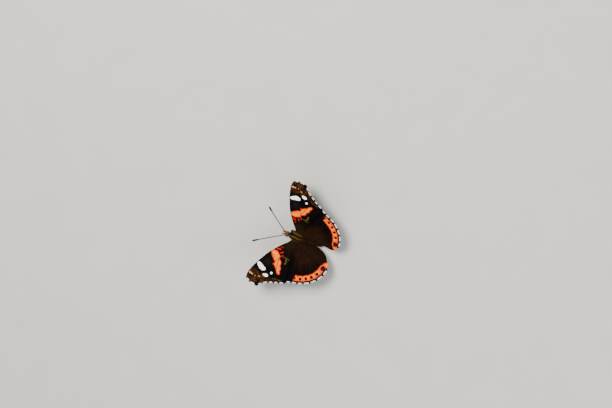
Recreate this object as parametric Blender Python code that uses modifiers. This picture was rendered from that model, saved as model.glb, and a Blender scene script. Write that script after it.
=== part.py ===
# A red admiral butterfly at life size, standing on four legs with its wings spread.
# Metres, +Z up. The head points along -Y and the butterfly's left side is +X.
# The origin is on the floor, under the middle of the model's box.

import math

import bmesh
import bpy
from mathutils import Vector
from mathutils.geometry import delaunay_2d_cdt, intersect_point_line

MM = 0.001

# Stance
ROOT_HEIGHT = 8.6 * MM             # middle of the wing roots above the floor
ROOT_BACK = -2.35 * MM             # the same point along Y
BODY_PITCH = math.radians(18)      # head end raised
GAP = 0.3 * MM                     # kept between nodes that meet
FLOOR_SIZE = 100 * MM

# Wings, spread flat with their tips raised
WING_DIHEDRAL = math.radians(15.2)
WING_SWEEP = math.radians(6.5)
WING_ORIGIN = 3.27 * MM            # of the wing plan, out from the middle plane
WING_LENGTH = 29 * MM
WING_ARCH = 0.7 * MM               # rise of the wing between its root and its tip
WING_TIERS = 1.15 * MM             # hindwing below forewing
FOLD_WIDTH = 2.6 * MM              # hindwing's inner edge, folded down beside the abdomen
FOLD_START = 4 * MM                # behind the wing roots
FOLD_SLOPE = 0.147                 # drop for each step back from there
MEMBRANE = 0.5 * MM
VEIN_THICKNESS = 0.86 * MM
VEIN_HALF_WIDTH = 0.42 * MM
SCALLOP_DEPTH = 0.3 * MM
EDGE_STEP = 1.3 * MM
VEIN_STEP = 1.9 * MM
GRID_STEP = 2.1 * MM
GRID_CLEARANCE = 0.9 * MM          # between grid points and the veins or the outline
WELD = 0.01 * MM
FINE_WELD = 0.002 * MM

# Body, sizes along the pitched axis measured forward of the wing roots
THORAX_MIDDLE = -0.35 * MM
THORAX_HALF_LENGTH = 3.75 * MM
THORAX_HALF_WIDTH = 2.5 * MM
THORAX_LEVEL = -0.9 * MM
THORAX_TOP = 2.3 * MM
THORAX_BOTTOM = 2.5 * MM
THORAX_BLUNTNESS = 2.4             # 2 gives plain round ends
HEAD_MIDDLE = 4.55 * MM
HEAD_LEVEL = 0.45 * MM
HEAD_HALF_LENGTH = 1.15 * MM
HEAD_HALF_WIDTH = 0.66 * MM
HEAD_HALF_HEIGHT = 1.15 * MM
NECK_HALF_LENGTH = 1.3 * MM
EYE_MIDDLE = (4.7 * MM, 0.95 * MM, 0.4 * MM)
EYE_HALF = (0.85 * MM, 0.72 * MM, 0.92 * MM)
ABDOMEN_FRONT = -2.6 * MM
ABDOMEN_LENGTH = 13.2 * MM
ABDOMEN_HALF_WIDTH = 2.0 * MM
ABDOMEN_LEVEL = -1.1 * MM
ABDOMEN_DROOP = 0.9 * MM
ABDOMEN_SEGMENTS = 7
ABDOMEN_START = 0.09               # share of the section's bulge that the thorax hides
ABDOMEN_FULLNESS = 0.72            # below 1 the widest place is nearer the front
ABDOMEN_BLUNTNESS = 0.62           # below 1 the ends are rounder
SEGMENT_CREASE = 0.05              # share of the width lost between segments
COIL_MIDDLE = (5.55 * MM, -2.0 * MM)
COIL_INNER = 0.38 * MM
COIL_PITCH = 0.84 * MM
COIL_TURNS = 1.05
COIL_START = 0.35                  # turns from straight ahead
COIL_STEPS = 14                    # for each turn
COIL_THICKNESS = 0.5 * MM

# Wing plans in millimetres: out from the wing origin, forward of it
FOREWING_COSTA = ((-1.6, 0.6), (0.6, 1.9), (4.2, 5.3), (9.3, 9.3), (15.3, 12.7), (20.6, 15.1),
                  (24.5, 16.2), (27.0, 15.9))
FOREWING_DORSUM = ((22.1, -4.1), (20.7, -4.6), (15.0, -3.5), (8.0, -2.7), (2.0, -2.3), (-1.6, -2.2))
FOREWING_VEINS = {
    "subcosta": ((-1.5, 0.2), (4.4, 4.4), (9.4, 8.2), (13.8, 11.1)),
    "radius": ((-1.5, -0.2), (4.5, 3.1), (9.5, 6.3), (13.6, 8.6)),
    "radius_1": ((9.5, 6.3), (13.6, 9.8), (17.6, 12.9)),
    "radius_2": ((13.6, 8.6), (17.8, 11.8), (21.4, 14.5)),
    "radius_4": ((13.6, 8.6), (19.2, 11.6), (24.0, 14.3), (27.0, 15.9)),
    "radius_5": ((19.2, 11.6), (24.0, 12.8), (28.3, 13.4)),
    "media_1": ((13.6, 8.6), (19.0, 9.2), (24.0, 9.4), (28.9, 9.2)),
    "media_2": ((13.4, 7.0), (18.0, 7.3), (22.4, 7.1), (26.3, 6.8)),
    "media_3": ((12.9, 4.7), (17.5, 5.0), (21.5, 4.6), (24.9, 4.1)),
    "cubitus": ((-1.5, -0.8), (3.4, 1.0), (7.2, 2.2), (10.4, 3.5), (12.9, 4.7)),
    "cubitus_1": ((10.4, 3.5), (15.0, 2.9), (19.5, 2.1), (23.9, 1.4)),
    "cubitus_2": ((7.2, 2.2), (12.0, 0.9), (17.8, -0.4), (22.9, -1.2)),
    "anal": ((-1.5, -1.3), (5.0, -1.0), (13.0, -1.9), (22.1, -4.1)),
    "cell_end": ((13.6, 8.6), (13.4, 7.0), (12.9, 4.7)),
}
FOREWING = {
    "costa": FOREWING_COSTA,
    "dorsum": FOREWING_DORSUM,
    "veins": FOREWING_VEINS,
    "margin": ("radius_4", "radius_5", "media_1", "media_2", "media_3", "cubitus_1", "cubitus_2", "anal"),
    "level": 0.0,
    "folds": False,
}
HINDWING_COSTA = ((-1.6, -1.9), (1.0, -1.6), (6.0, -1.0), (12.0, -0.8), (17.2, -1.9), (20.1, -4.2))
HINDWING_DORSUM = ((6.6, -22.4), (3.6, -21.4), (0.7, -18.8), (-0.8, -16.2), (-1.8, -13.4), (-2.0, -11.2),
                   (-1.7, -8.8), (-1.3, -7.0), (-1.2, -5.6), (-1.6, -4.6))
HINDWING_VEINS = {
    "subcosta": ((-1.5, -3.2), (4.0, -2.6), (10.0, -2.1), (15.6, -2.6), (20.1, -4.2)),
    "radius": ((-1.5, -3.6), (3.2, -4.8), (8.4, -7.8)),
    "sector": ((3.2, -4.8), (9.0, -5.4), (14.6, -6.2), (20.2, -7.1)),
    "media_1": ((8.4, -7.8), (13.6, -9.1), (19.5, -10.2)),
    "media_2": ((8.4, -7.8), (13.2, -10.7), (18.4, -13.3)),
    "media_3": ((6.6, -12.4), (11.4, -14.6), (16.5, -16.5)),
    "cubitus": ((-1.5, -4.0), (2.2, -7.0), (4.8, -10.2), (6.6, -12.4)),
    "cubitus_1": ((6.6, -12.4), (10.0, -16.2), (13.8, -19.3)),
    "cubitus_2": ((4.8, -10.2), (7.2, -15.8), (10.2, -21.4)),
    "anal": ((-1.5, -4.4), (1.8, -9.4), (3.8, -15.4), (6.6, -22.4)),
    "cell_end": ((8.4, -7.8), (7.6, -10.2), (6.6, -12.4)),
}
HINDWING = {
    "costa": HINDWING_COSTA,
    "dorsum": HINDWING_DORSUM,
    "veins": HINDWING_VEINS,
    "margin": ("subcosta", "sector", "media_1", "media_2", "media_3", "cubitus_1", "cubitus_2", "anal"),
    "level": -WING_TIERS,
    "folds": True,
}

# Legs in millimetres: out from the middle plane, behind the wing roots, above the floor, radius
MID_LEG = ((1.1, 0.2, 6.2, 0.5), (1.8, 0.1, 4.6, 0.5), (3.5, -0.6, 4.7, 0.48), (5.6, -1.4, 5.2, 0.42),
           (7.0, -2.0, 3.2, 0.34), (8.2, -2.5, 0.8, 0.3), (9.2, -2.8, 0.2, 0.29), (10.2, -3.0, 0.2, 0.29),
           (11.2, -3.1, 0.2, 0.27))
HIND_LEG = ((1.1, 2.3, 6.0, 0.5), (1.9, 2.9, 4.1, 0.5), (3.5, 4.5, 4.4, 0.48), (5.4, 6.6, 4.9, 0.42),
            (6.7, 8.4, 3.0, 0.34), (7.8, 9.9, 0.8, 0.3), (8.4, 10.9, 0.2, 0.29), (8.9, 11.9, 0.2, 0.29),
            (9.3, 12.9, 0.2, 0.27))

# Parts drawn along the pitched body in millimetres: forward, out, up, radius
FORELEG = ((1.5, 0.85, -2.3, 0.4), (2.2, 0.9, -3.2, 0.4), (2.3, 0.92, -3.75, 0.36), (1.5, 0.95, -4.1, 0.3),
           (0.7, 0.95, -4.25, 0.28), (0.0, 0.9, -4.35, 0.26))
PALP = ((4.6, 0.5, -0.3, 0.3), (5.5, 0.53, -0.1, 0.34), (6.2, 0.53, 0.25, 0.34), (6.8, 0.5, 0.62, 0.28),
        (7.2, 0.46, 0.85, 0.12))

# Antenna in millimetres: out from the middle plane, behind the wing roots, above them, radius
ANTENNA = ((0.35, -4.7, 1.9, 0.27), (0.95, -5.5, 2.95, 0.26), (4.0, -9.6, 4.35, 0.25),
           (7.2, -13.8, 5.75, 0.25), (9.4, -16.6, 6.6, 0.27), (9.9, -17.2, 6.78, 0.42),
           (10.6, -18.1, 7.05, 0.46), (10.95, -18.6, 7.2, 0.2))

# Colours, linear
BLACK_BROWN = (0.012, 0.009, 0.008, 1.0)
OLIVE_BROWN = (0.085, 0.062, 0.030, 1.0)
RED_BROWN = (0.060, 0.024, 0.014, 1.0)
EYE_BROWN = (0.030, 0.016, 0.012, 1.0)
GREY_BROWN = (0.075, 0.060, 0.048, 1.0)


def clamp(value):
    return max(0.0, min(1.0, value))


def from_root(side, back, up):
    # A point measured from the middle of the wing roots
    return Vector((side, ROOT_BACK + back, ROOT_HEIGHT + up))


def on_body(forward, side, up):
    # A point measured along the pitched body axis
    back = -forward * math.cos(BODY_PITCH) + up * math.sin(BODY_PITCH)
    rise = forward * math.sin(BODY_PITCH) + up * math.cos(BODY_PITCH)
    return from_root(side, back, rise)


def on_wing(out, forward, level):
    # A point of the left wing plan, bent and turned into its place
    level += WING_ARCH * math.sin(math.pi * clamp(out / WING_LENGTH))
    swept_out = out * math.cos(WING_SWEEP) + forward * math.sin(WING_SWEEP)
    swept_forward = forward * math.cos(WING_SWEEP) - out * math.sin(WING_SWEEP)
    side = WING_ORIGIN + swept_out * math.cos(WING_DIHEDRAL) - level * math.sin(WING_DIHEDRAL)
    up = swept_out * math.sin(WING_DIHEDRAL) + level * math.cos(WING_DIHEDRAL)
    return from_root(side, -swept_forward, up)


def fold_drop(out, forward):
    # How far the hindwing's inner edge hangs, more towards the back as the abdomen does
    inward = max(0.0, 1.0 - out / FOLD_WIDTH)
    behind = max(0.0, -forward - FOLD_START)
    return FOLD_SLOPE * inward * inward * behind


def smooth_line(keys, step):
    # A Catmull-Rom line through the keys, which may have any number of values
    keys = [Vector(key) for key in keys]
    ends = [2 * keys[0] - keys[1]] + keys + [2 * keys[-1] - keys[-2]]
    line = [keys[0]]
    for before, start, stop, after in zip(ends, ends[1:], ends[2:], ends[3:]):
        pieces = max(1, round((stop - start).length / step))
        for index in range(1, pieces + 1):
            t = index / pieces
            line.append(0.5 * (2 * start + (stop - before) * t
                               + (2 * before - 5 * start + 4 * stop - after) * t ** 2
                               + (3 * start - before - 3 * stop + after) * t ** 3))
    return line


def scaled(points):
    return [tuple(value * MM for value in point) for point in points]


def material(name, colour, roughness):
    surface = bpy.data.materials.new(name)
    surface.use_nodes = True
    shader = surface.node_tree.nodes["Principled BSDF"]
    shader.inputs["Base Color"].default_value = colour
    shader.inputs["Roughness"].default_value = roughness
    shader.inputs["Metallic"].default_value = 0.0
    return surface


def add_piece(name, mesh, collection):
    piece = bpy.data.objects.new(name, mesh)
    collection.objects.link(piece)
    return piece


def finish_mesh(form, name):
    mesh = bpy.data.meshes.new(name)
    form.to_mesh(mesh)
    form.free()
    return mesh


def ovoid(name, segments, rings, place, collection):
    # A sphere whose points are moved to their places
    form = bmesh.new()
    bmesh.ops.create_uvsphere(form, u_segments=segments, v_segments=rings, radius=1.0)
    for vertex in form.verts:
        vertex.co = place(*vertex.co)
    bmesh.ops.recalc_face_normals(form, faces=form.faces)
    return add_piece(name, finish_mesh(form, name), collection)


def freeze(piece):
    # Applies the modifiers and keeps the largest closed surface
    graph = bpy.context.evaluated_depsgraph_get()
    graph.update()
    form = bmesh.new()
    form.from_mesh(bpy.data.meshes.new_from_object(piece.evaluated_get(graph)))
    bmesh.ops.remove_doubles(form, verts=form.verts, dist=FINE_WELD)
    unseen = set(form.verts)
    shells = []
    while unseen:
        front = [unseen.pop()]
        shell = set(front)
        while front:
            vertex = front.pop()
            near = {edge.other_vert(vertex) for edge in vertex.link_edges} - shell
            shell |= near
            front.extend(near)
        unseen -= shell
        shells.append(shell)
    keep = max(shells, key=len)
    bmesh.ops.delete(form, geom=[vertex for vertex in form.verts if vertex not in keep], context="VERTS")
    piece.modifiers.clear()
    piece.data = finish_mesh(form, piece.name)


def grown(piece, cutters):
    # A cutter that stands off the piece by the gap
    form = bmesh.new()
    form.from_mesh(piece.data)
    form.normal_update()
    moves = [(vertex, vertex.normal * GAP) for vertex in form.verts]
    for vertex, move in moves:
        vertex.co += move
    name = piece.name + "_clearance"
    cutter = add_piece(name, finish_mesh(form, name), cutters)
    cutter.hide_render = True
    cutter.display_type = "WIRE"
    return cutter


def cut(piece, tools):
    for tool in tools:
        modifier = piece.modifiers.new("cut", "BOOLEAN")
        modifier.operation = "DIFFERENCE"
        modifier.object = tool
    freeze(piece)


def tube(name, points, radii, collection):
    # A limb along the points, with the thickness set at each one
    curve = bpy.data.curves.new(name, "CURVE")
    curve.dimensions = "3D"
    curve.bevel_depth = MM
    curve.bevel_resolution = 2
    curve.use_fill_caps = True
    spline = curve.splines.new("POLY")
    spline.points.add(len(points) - 1)
    for knot, point, radius in zip(spline.points, points, radii):
        knot.co = (*point, 1.0)
        knot.radius = radius / MM
    piece = bpy.data.objects.new(name, curve)
    collection.objects.link(piece)
    graph = bpy.context.evaluated_depsgraph_get()
    form = bmesh.new()
    form.from_mesh(bpy.data.meshes.new_from_object(piece.evaluated_get(graph)))
    bmesh.ops.remove_doubles(form, verts=form.verts, dist=WELD)
    bmesh.ops.recalc_face_normals(form, faces=form.faces)
    bpy.data.objects.remove(piece)
    return add_piece(name, finish_mesh(form, name), collection)


def limb(name, keys, place, collection, step=0.9 * MM):
    line = smooth_line(scaled(keys), step)
    return tube(name, [place(*knot[:3]) for knot in line], [knot[3] for knot in line], collection)


def mirrored(piece, name, collection):
    form = bmesh.new()
    form.from_mesh(piece.data)
    for vertex in form.verts:
        vertex.co.x = -vertex.co.x
    bmesh.ops.reverse_faces(form, faces=form.faces)
    return add_piece(name, finish_mesh(form, name), collection)


def scalloped(ends):
    # The outer margin, drawn in between the ends of the veins
    line = [Vector(ends[0])]
    for start, stop in zip(ends, ends[1:]):
        start = Vector(start)
        stop = Vector(stop)
        inward = Vector((stop.y - start.y, start.x - stop.x)).normalized()
        pieces = max(2, round((stop - start).length / EDGE_STEP))
        for index in range(1, pieces + 1):
            t = index / pieces
            line.append(start.lerp(stop, t) + inward * SCALLOP_DEPTH * 4 * t * (1 - t))
    return line


def line_distance(point, line):
    nearest = math.inf
    for start, stop in zip(line, line[1:]):
        _, share = intersect_point_line(point, start, stop)
        foot = start.lerp(stop, clamp(share))
        nearest = min(nearest, (point - foot).length)
    return nearest


def clear_of(spot, lines, distance):
    return min(line_distance(spot, line) for line in lines) > distance


def grid_points(outline, lines):
    # Evenly spaced points over the wing plan, away from its lines
    reach = max(max(abs(spot.x), abs(spot.y)) for spot in outline)
    rows = math.ceil(reach / (GRID_STEP * math.sqrt(0.75)))
    points = []
    for row in range(-rows, rows + 1):
        for column in range(-rows, rows + 1):
            spot = Vector((column + 0.5 * (row % 2), row * math.sqrt(0.75))) * GRID_STEP
            if clear_of(spot, [*lines, outline], GRID_CLEARANCE):
                points.append(spot)
    return points


def vein_points(line, others, first):
    # Points on the vein and at both its feet, and the edges along its crest
    points = []
    crest = []
    for index, spot in enumerate(line):
        crest.append(first + len(points))
        points.append(spot)
        along = (line[min(index + 1, len(line) - 1)] - line[max(index - 1, 0)]).normalized()
        flank = Vector((-along.y, along.x)) * VEIN_HALF_WIDTH
        for near in (spot - flank, spot + flank):
            if clear_of(near, others, VEIN_HALF_WIDTH):
                points.append(near)
    return points, list(zip(crest, crest[1:]))


def wing(name, plan, collection):
    # A sheet triangulated between its outline and its veins, thickened both ways
    lines = {key: smooth_line(scaled(points), VEIN_STEP) for key, points in plan["veins"].items()}
    front = smooth_line(scaled(plan["costa"]), EDGE_STEP)
    outer = scalloped([lines[key][-1] for key in plan["margin"]])
    back = smooth_line(scaled(plan["dorsum"]), EDGE_STEP)
    outline = front + outer[1:] + back[1:]
    points = list(outline)
    edges = []
    for key, line in lines.items():
        others = [other for other_key, other in lines.items() if other_key != key]
        vein, crest = vein_points(line, others, len(points))
        points.extend(vein)
        edges.extend(crest)
    points.extend(grid_points(outline, lines.values()))
    ring = list(range(len(outline)))
    verts, _, faces, _, _, _ = delaunay_2d_cdt(points, edges, [ring], 1, WELD)
    form = bmesh.new()
    layer = form.verts.layers.deform.verify()
    for spot in verts:
        sag = fold_drop(*spot) if plan["folds"] else 0.0
        vertex = form.verts.new(on_wing(spot.x, spot.y, plan["level"] - sag))
        nearest = min(line_distance(spot, line) for line in lines.values())
        vertex[layer][0] = clamp(1.0 - nearest / VEIN_HALF_WIDTH)
    form.verts.ensure_lookup_table()
    for face in faces:
        form.faces.new([form.verts[index] for index in face])
    bmesh.ops.remove_doubles(form, verts=form.verts, dist=WELD)
    loose = [vertex for vertex in form.verts if not vertex.link_faces]
    bmesh.ops.delete(form, geom=loose, context="VERTS")
    piece = add_piece(name, finish_mesh(form, name), collection)
    piece.vertex_groups.new(name="vein")
    thicken = piece.modifiers.new("thicken", "SOLIDIFY")
    thicken.thickness = VEIN_THICKNESS
    thicken.offset = 0.0
    thicken.vertex_group = "vein"
    thicken.thickness_vertex_group = MEMBRANE / VEIN_THICKNESS
    freeze(piece)
    return piece


def thorax_place(x, y, z):
    angle = math.atan2(y, x)
    girth = max(0.0, 1.0 - abs(z) ** THORAX_BLUNTNESS) ** 0.5
    height = THORAX_TOP if y > 0 else THORAX_BOTTOM
    return on_body(THORAX_MIDDLE + THORAX_HALF_LENGTH * z,
                   THORAX_HALF_WIDTH * girth * math.cos(angle),
                   THORAX_LEVEL + height * girth * math.sin(angle))


def head_place(x, y, z):
    # Rounded in front, drawn out behind into the neck
    length = HEAD_HALF_LENGTH if z > 0 else NECK_HALF_LENGTH
    return on_body(HEAD_MIDDLE + length * z, HEAD_HALF_WIDTH * x, HEAD_LEVEL + HEAD_HALF_HEIGHT * y)


def eye_place(x, y, z):
    forward, side, up = EYE_MIDDLE
    return on_body(forward + EYE_HALF[0] * z, side + EYE_HALF[1] * x, up + EYE_HALF[2] * y)


def abdomen_profile():
    # Half a section from the front end to the tip, ringed by its segments
    steps = 4 * ABDOMEN_SEGMENTS
    points = []
    for index in range(steps + 1):
        t = index / steps
        bulge = clamp(ABDOMEN_START + (1.0 - ABDOMEN_START) * t) ** ABDOMEN_FULLNESS
        girth = max(0.0, math.sin(math.pi * bulge)) ** ABDOMEN_BLUNTNESS
        ring = 1.0 - SEGMENT_CREASE * (index % 4 == 0)
        points.append((ABDOMEN_HALF_WIDTH * girth * ring if 0 < index < steps else 0.0, t))
    return points


def abdomen(name, collection):
    profile = abdomen_profile()
    form = bmesh.new()
    spots = [form.verts.new((radius, 0.0, -t * ABDOMEN_LENGTH)) for radius, t in profile]
    for start, stop in zip(spots, spots[1:]):
        form.edges.new((start, stop))
    piece = add_piece(name, finish_mesh(form, name), collection)
    turn = piece.modifiers.new("turn", "SCREW")
    turn.axis = "Z"
    turn.steps = 16
    turn.render_steps = 16
    turn.use_merge_vertices = True
    turn.merge_threshold = WELD
    freeze(piece)
    for vertex in piece.data.vertices:
        x, y, z = vertex.co
        share = -z / ABDOMEN_LENGTH
        vertex.co = on_body(ABDOMEN_FRONT + z, x, ABDOMEN_LEVEL + y - ABDOMEN_DROOP * share ** 2)
    return piece


def coil_points():
    # The curled tongue, wound in the middle plane under the head
    forward, up = COIL_MIDDLE
    steps = round(COIL_TURNS * COIL_STEPS)
    points = []
    for index in range(steps + 1):
        turn = COIL_TURNS * index / steps
        reach = COIL_INNER + COIL_PITCH * turn
        angle = 2 * math.pi * (turn + COIL_START)
        points.append(on_body(forward + reach * math.cos(angle), 0.0, up + reach * math.sin(angle)))
    return points


def above_floor(side, back, height):
    return from_root(side, back, height - ROOT_HEIGHT)


def below_floor(cutters):
    form = bmesh.new()
    bmesh.ops.create_cube(form, size=FLOOR_SIZE)
    bmesh.ops.translate(form, verts=form.verts, vec=(0.0, 0.0, -FLOOR_SIZE / 2))
    floor = add_piece("floor", finish_mesh(form, "floor"), cutters)
    floor.hide_render = True
    floor.display_type = "WIRE"
    return floor


def build():
    for old in list(bpy.data.objects):
        bpy.data.objects.remove(old)
    insect = bpy.data.collections.new("red_admiral")
    cutters = bpy.data.collections.new("cutters")
    bpy.context.scene.collection.children.link(insect)
    bpy.context.scene.collection.children.link(cutters)
    wings = material("wing_scales", BLACK_BROWN, 0.7)
    hair = material("thorax_hair", OLIVE_BROWN, 0.85)
    rear = material("abdomen_scales", RED_BROWN, 0.8)
    eyes = material("eye", EYE_BROWN, 0.25)
    limbs = material("limb_scales", GREY_BROWN, 0.75)

    thorax = ovoid("thorax", 20, 14, thorax_place, insect)
    around_thorax = grown(thorax, cutters)
    head = ovoid("head", 16, 12, head_place, insect)
    cut(head, [around_thorax])
    whole_head = ovoid("whole_head", 16, 12, head_place, cutters)
    around_head = grown(whole_head, cutters)
    bpy.data.objects.remove(whole_head)
    tail = abdomen("abdomen", insect)
    around_abdomen = grown(tail, cutters)
    cut(tail, [around_thorax])
    for piece in (thorax, head):
        piece.data.materials.append(hair)
    tail.data.materials.append(rear)

    eye = ovoid("eye_left", 14, 10, eye_place, insect)
    around_eye = grown(eye, cutters)
    cut(eye, [around_head])
    palp = limb("palp_left", PALP, on_body, insect)
    cut(palp, [around_head, around_eye])
    antenna = limb("antenna_left", ANTENNA, from_root, insect, 2.0 * MM)
    cut(antenna, [around_head, around_eye])

    forewing = wing("forewing_left", FOREWING, insect)
    cut(forewing, [around_thorax])
    hindwing = wing("hindwing_left", HINDWING, insect)
    cut(hindwing, [around_thorax, around_abdomen])

    floor = below_floor(cutters)
    foreleg = limb("foreleg_left", FORELEG, on_body, insect)
    midleg = limb("midleg_left", MID_LEG, above_floor, insect)
    hindleg = limb("hindleg_left", HIND_LEG, above_floor, insect)
    cut(foreleg, [around_thorax])
    cut(midleg, [around_thorax, floor])
    cut(hindleg, [around_thorax, around_abdomen, floor])

    looks = {eye: eyes, palp: limbs, antenna: limbs, forewing: wings, hindwing: wings,
             foreleg: limbs, midleg: limbs, hindleg: limbs}
    for piece, surface in looks.items():
        piece.data.materials.append(surface)
        mirrored(piece, piece.name.replace("left", "right"), insect).data.materials.append(surface)

    coil = coil_points()
    tongue = tube("proboscis", coil, [COIL_THICKNESS / 2] * len(coil), insect)
    cut(tongue, [around_head])
    tongue.data.materials.append(limbs)


build()
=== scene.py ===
import math

import bpy
import numpy as np
from mathutils import Matrix, Vector
from mathutils.geometry import delaunay_2d_cdt


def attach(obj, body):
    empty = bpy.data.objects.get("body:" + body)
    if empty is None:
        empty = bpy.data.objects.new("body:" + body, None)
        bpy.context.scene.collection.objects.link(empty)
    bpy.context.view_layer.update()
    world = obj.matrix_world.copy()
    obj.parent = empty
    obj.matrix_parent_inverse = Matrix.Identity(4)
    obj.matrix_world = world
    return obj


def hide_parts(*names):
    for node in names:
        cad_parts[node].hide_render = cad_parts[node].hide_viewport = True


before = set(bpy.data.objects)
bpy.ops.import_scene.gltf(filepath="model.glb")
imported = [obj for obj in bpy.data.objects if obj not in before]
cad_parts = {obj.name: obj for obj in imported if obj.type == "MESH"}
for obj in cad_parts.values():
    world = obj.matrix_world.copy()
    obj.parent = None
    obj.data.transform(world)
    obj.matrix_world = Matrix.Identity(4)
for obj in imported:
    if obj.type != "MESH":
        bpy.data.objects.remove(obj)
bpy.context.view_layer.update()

# A red admiral at life size. Lengths are in millimetres until they become vertices.
mm = 0.001

stance = {
    "rootHeight": 8.6,            # wing roots above the floor
    "rootBack": -2.35,            # and along Y
    "bodyPitch": math.radians(18),
    "dihedral": math.radians(15.2),
    "sweep": math.radians(6.5),
    "wingOrigin": 3.27,           # out from the middle plane
    "wingLength": 29.0,
    "wingArch": 0.7,
    "wingTiers": 1.15,            # hindwing below forewing
    "foldWidth": 2.6,             # of the hindwing's inner edge, folded down beside the abdomen
    "foldStart": 4.0,
    "foldSlope": 0.147,
}


# Places on the insect, as arrays of points

def fromRoot(side, back, up):
    side, back, up = np.broadcast_arrays(side, back, up)
    return np.stack([side, stance["rootBack"] + back, stance["rootHeight"] + up], axis=-1)


def onBody(forward, side, up):
    turn = stance["bodyPitch"]
    back = -forward * math.cos(turn) + up * math.sin(turn)
    rise = forward * math.sin(turn) + up * math.cos(turn)
    return fromRoot(side, back, rise)


def intoBody(points):
    # Forward, side and up along the pitched body, the way back from onBody
    turn = stance["bodyPitch"]
    back = points[:, 1] - stance["rootBack"]
    rise = points[:, 2] - stance["rootHeight"]
    forward = -back * math.cos(turn) + rise * math.sin(turn)
    up = back * math.sin(turn) + rise * math.cos(turn)
    return forward, points[:, 0], up


def onWing(spots, level):
    out, forward = spots.T
    level = level + stance["wingArch"] * np.sin(np.pi * np.clip(out / stance["wingLength"], 0, 1))
    sweep, raised = stance["sweep"], stance["dihedral"]
    sweptOut = out * math.cos(sweep) + forward * math.sin(sweep)
    sweptForward = forward * math.cos(sweep) - out * math.sin(sweep)
    side = stance["wingOrigin"] + sweptOut * math.cos(raised) - level * math.sin(raised)
    up = sweptOut * math.sin(raised) + level * math.cos(raised)
    return fromRoot(side, -sweptForward, up)


def foldDrop(spots):
    out, forward = spots.T
    inward = np.maximum(0, 1 - out / stance["foldWidth"])
    behind = np.maximum(0, -forward - stance["foldStart"])
    return stance["foldSlope"] * inward ** 2 * behind


def ramp(value, low, high):
    t = np.clip((value - low) / (high - low), 0, 1)
    return t * t * (3 - 2 * t)


def smoothLine(keys, step):
    # A Catmull-Rom line through the keys, which may have any number of values
    keys = np.array(keys, float)
    ends = np.vstack([2 * keys[:1] - keys[1:2], keys, 2 * keys[-1:] - keys[-2:-1]])
    line = [keys[0]]
    for before, start, stop, after in zip(ends, ends[1:], ends[2:], ends[3:]):
        pieces = max(1, round(float(np.linalg.norm(stop - start)) / step))
        for index in range(1, pieces + 1):
            t = index / pieces
            line.append(0.5 * (2 * start + (stop - before) * t
                               + (2 * before - 5 * start + 4 * stop - after) * t ** 2
                               + (3 * start - before - 3 * stop + after) * t ** 3))
    return np.array(line)


def lengthAlong(line):
    # From the line's start to each of its points
    return np.concatenate([[0], np.cumsum(np.linalg.norm(np.diff(line, axis=0), axis=1))])


def gapTo(points, line):
    # Distance from each point to a line, and the share of the line where it is nearest
    best = np.full(len(points), np.inf)
    share = np.zeros(len(points))
    count = len(line) - 1
    for index in range(count):
        start, along = line[index], line[index + 1] - line[index]
        t = np.clip((points - start) @ along / max(along @ along, 1e-12), 0, 1)
        gap = np.linalg.norm(points - start - t[:, None] * along, axis=1)
        nearer = gap < best
        best[nearer] = gap[nearer]
        share[nearer] = (index + t[nearer]) / count
    return best, share


def depthIn(points, ring):
    # Distance to the ring's edge, positive inside it
    gap, _ = gapTo(points, np.vstack([ring, ring[:1]]))
    inside = np.zeros(len(points), bool)
    for (x0, y0), (x1, y1) in zip(ring, np.roll(ring, -1, axis=0)):
        crosses = (y0 > points[:, 1]) != (y1 > points[:, 1])
        slope = (x1 - x0) * (points[:, 1] - y0) / np.where(y1 == y0, 1e-12, y1 - y0) + x0
        inside ^= crosses & (points[:, 0] < slope)
    return np.where(inside, gap, -gap)


# Shader graphs written as sums

pureBlack = (0.0, 0.0, 0.0)


class Link:
    # A socket that takes part in sums
    def __init__(self, shader, socket):
        self.shader = shader
        self.socket = socket

    def maths(self, operation, *others):
        return self.shader.add("Math", {"operation": operation}, self, *others)

    def __add__(self, other):
        return self.maths("ADD", other)

    def __sub__(self, other):
        return self.maths("SUBTRACT", other)

    def __mul__(self, other):
        return self.maths("MULTIPLY", other)

    def __pow__(self, other):
        return self.maths("POWER", other)

    def __rsub__(self, other):
        return self.shader.add("Math", {"operation": "SUBTRACT"}, other, self)

    __radd__ = __add__
    __rmul__ = __mul__

    def between(self, low, high):
        # 0 below low, 1 above high, smooth in between; falls where high is the smaller
        settings = {"interpolation_type": "SMOOTHSTEP", "clamp": True}
        if low < high:
            return self.shader.add("MapRange", settings, self, low, high, 0.0, 1.0)
        return self.shader.add("MapRange", settings, self, high, low, 1.0, 0.0)


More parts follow.
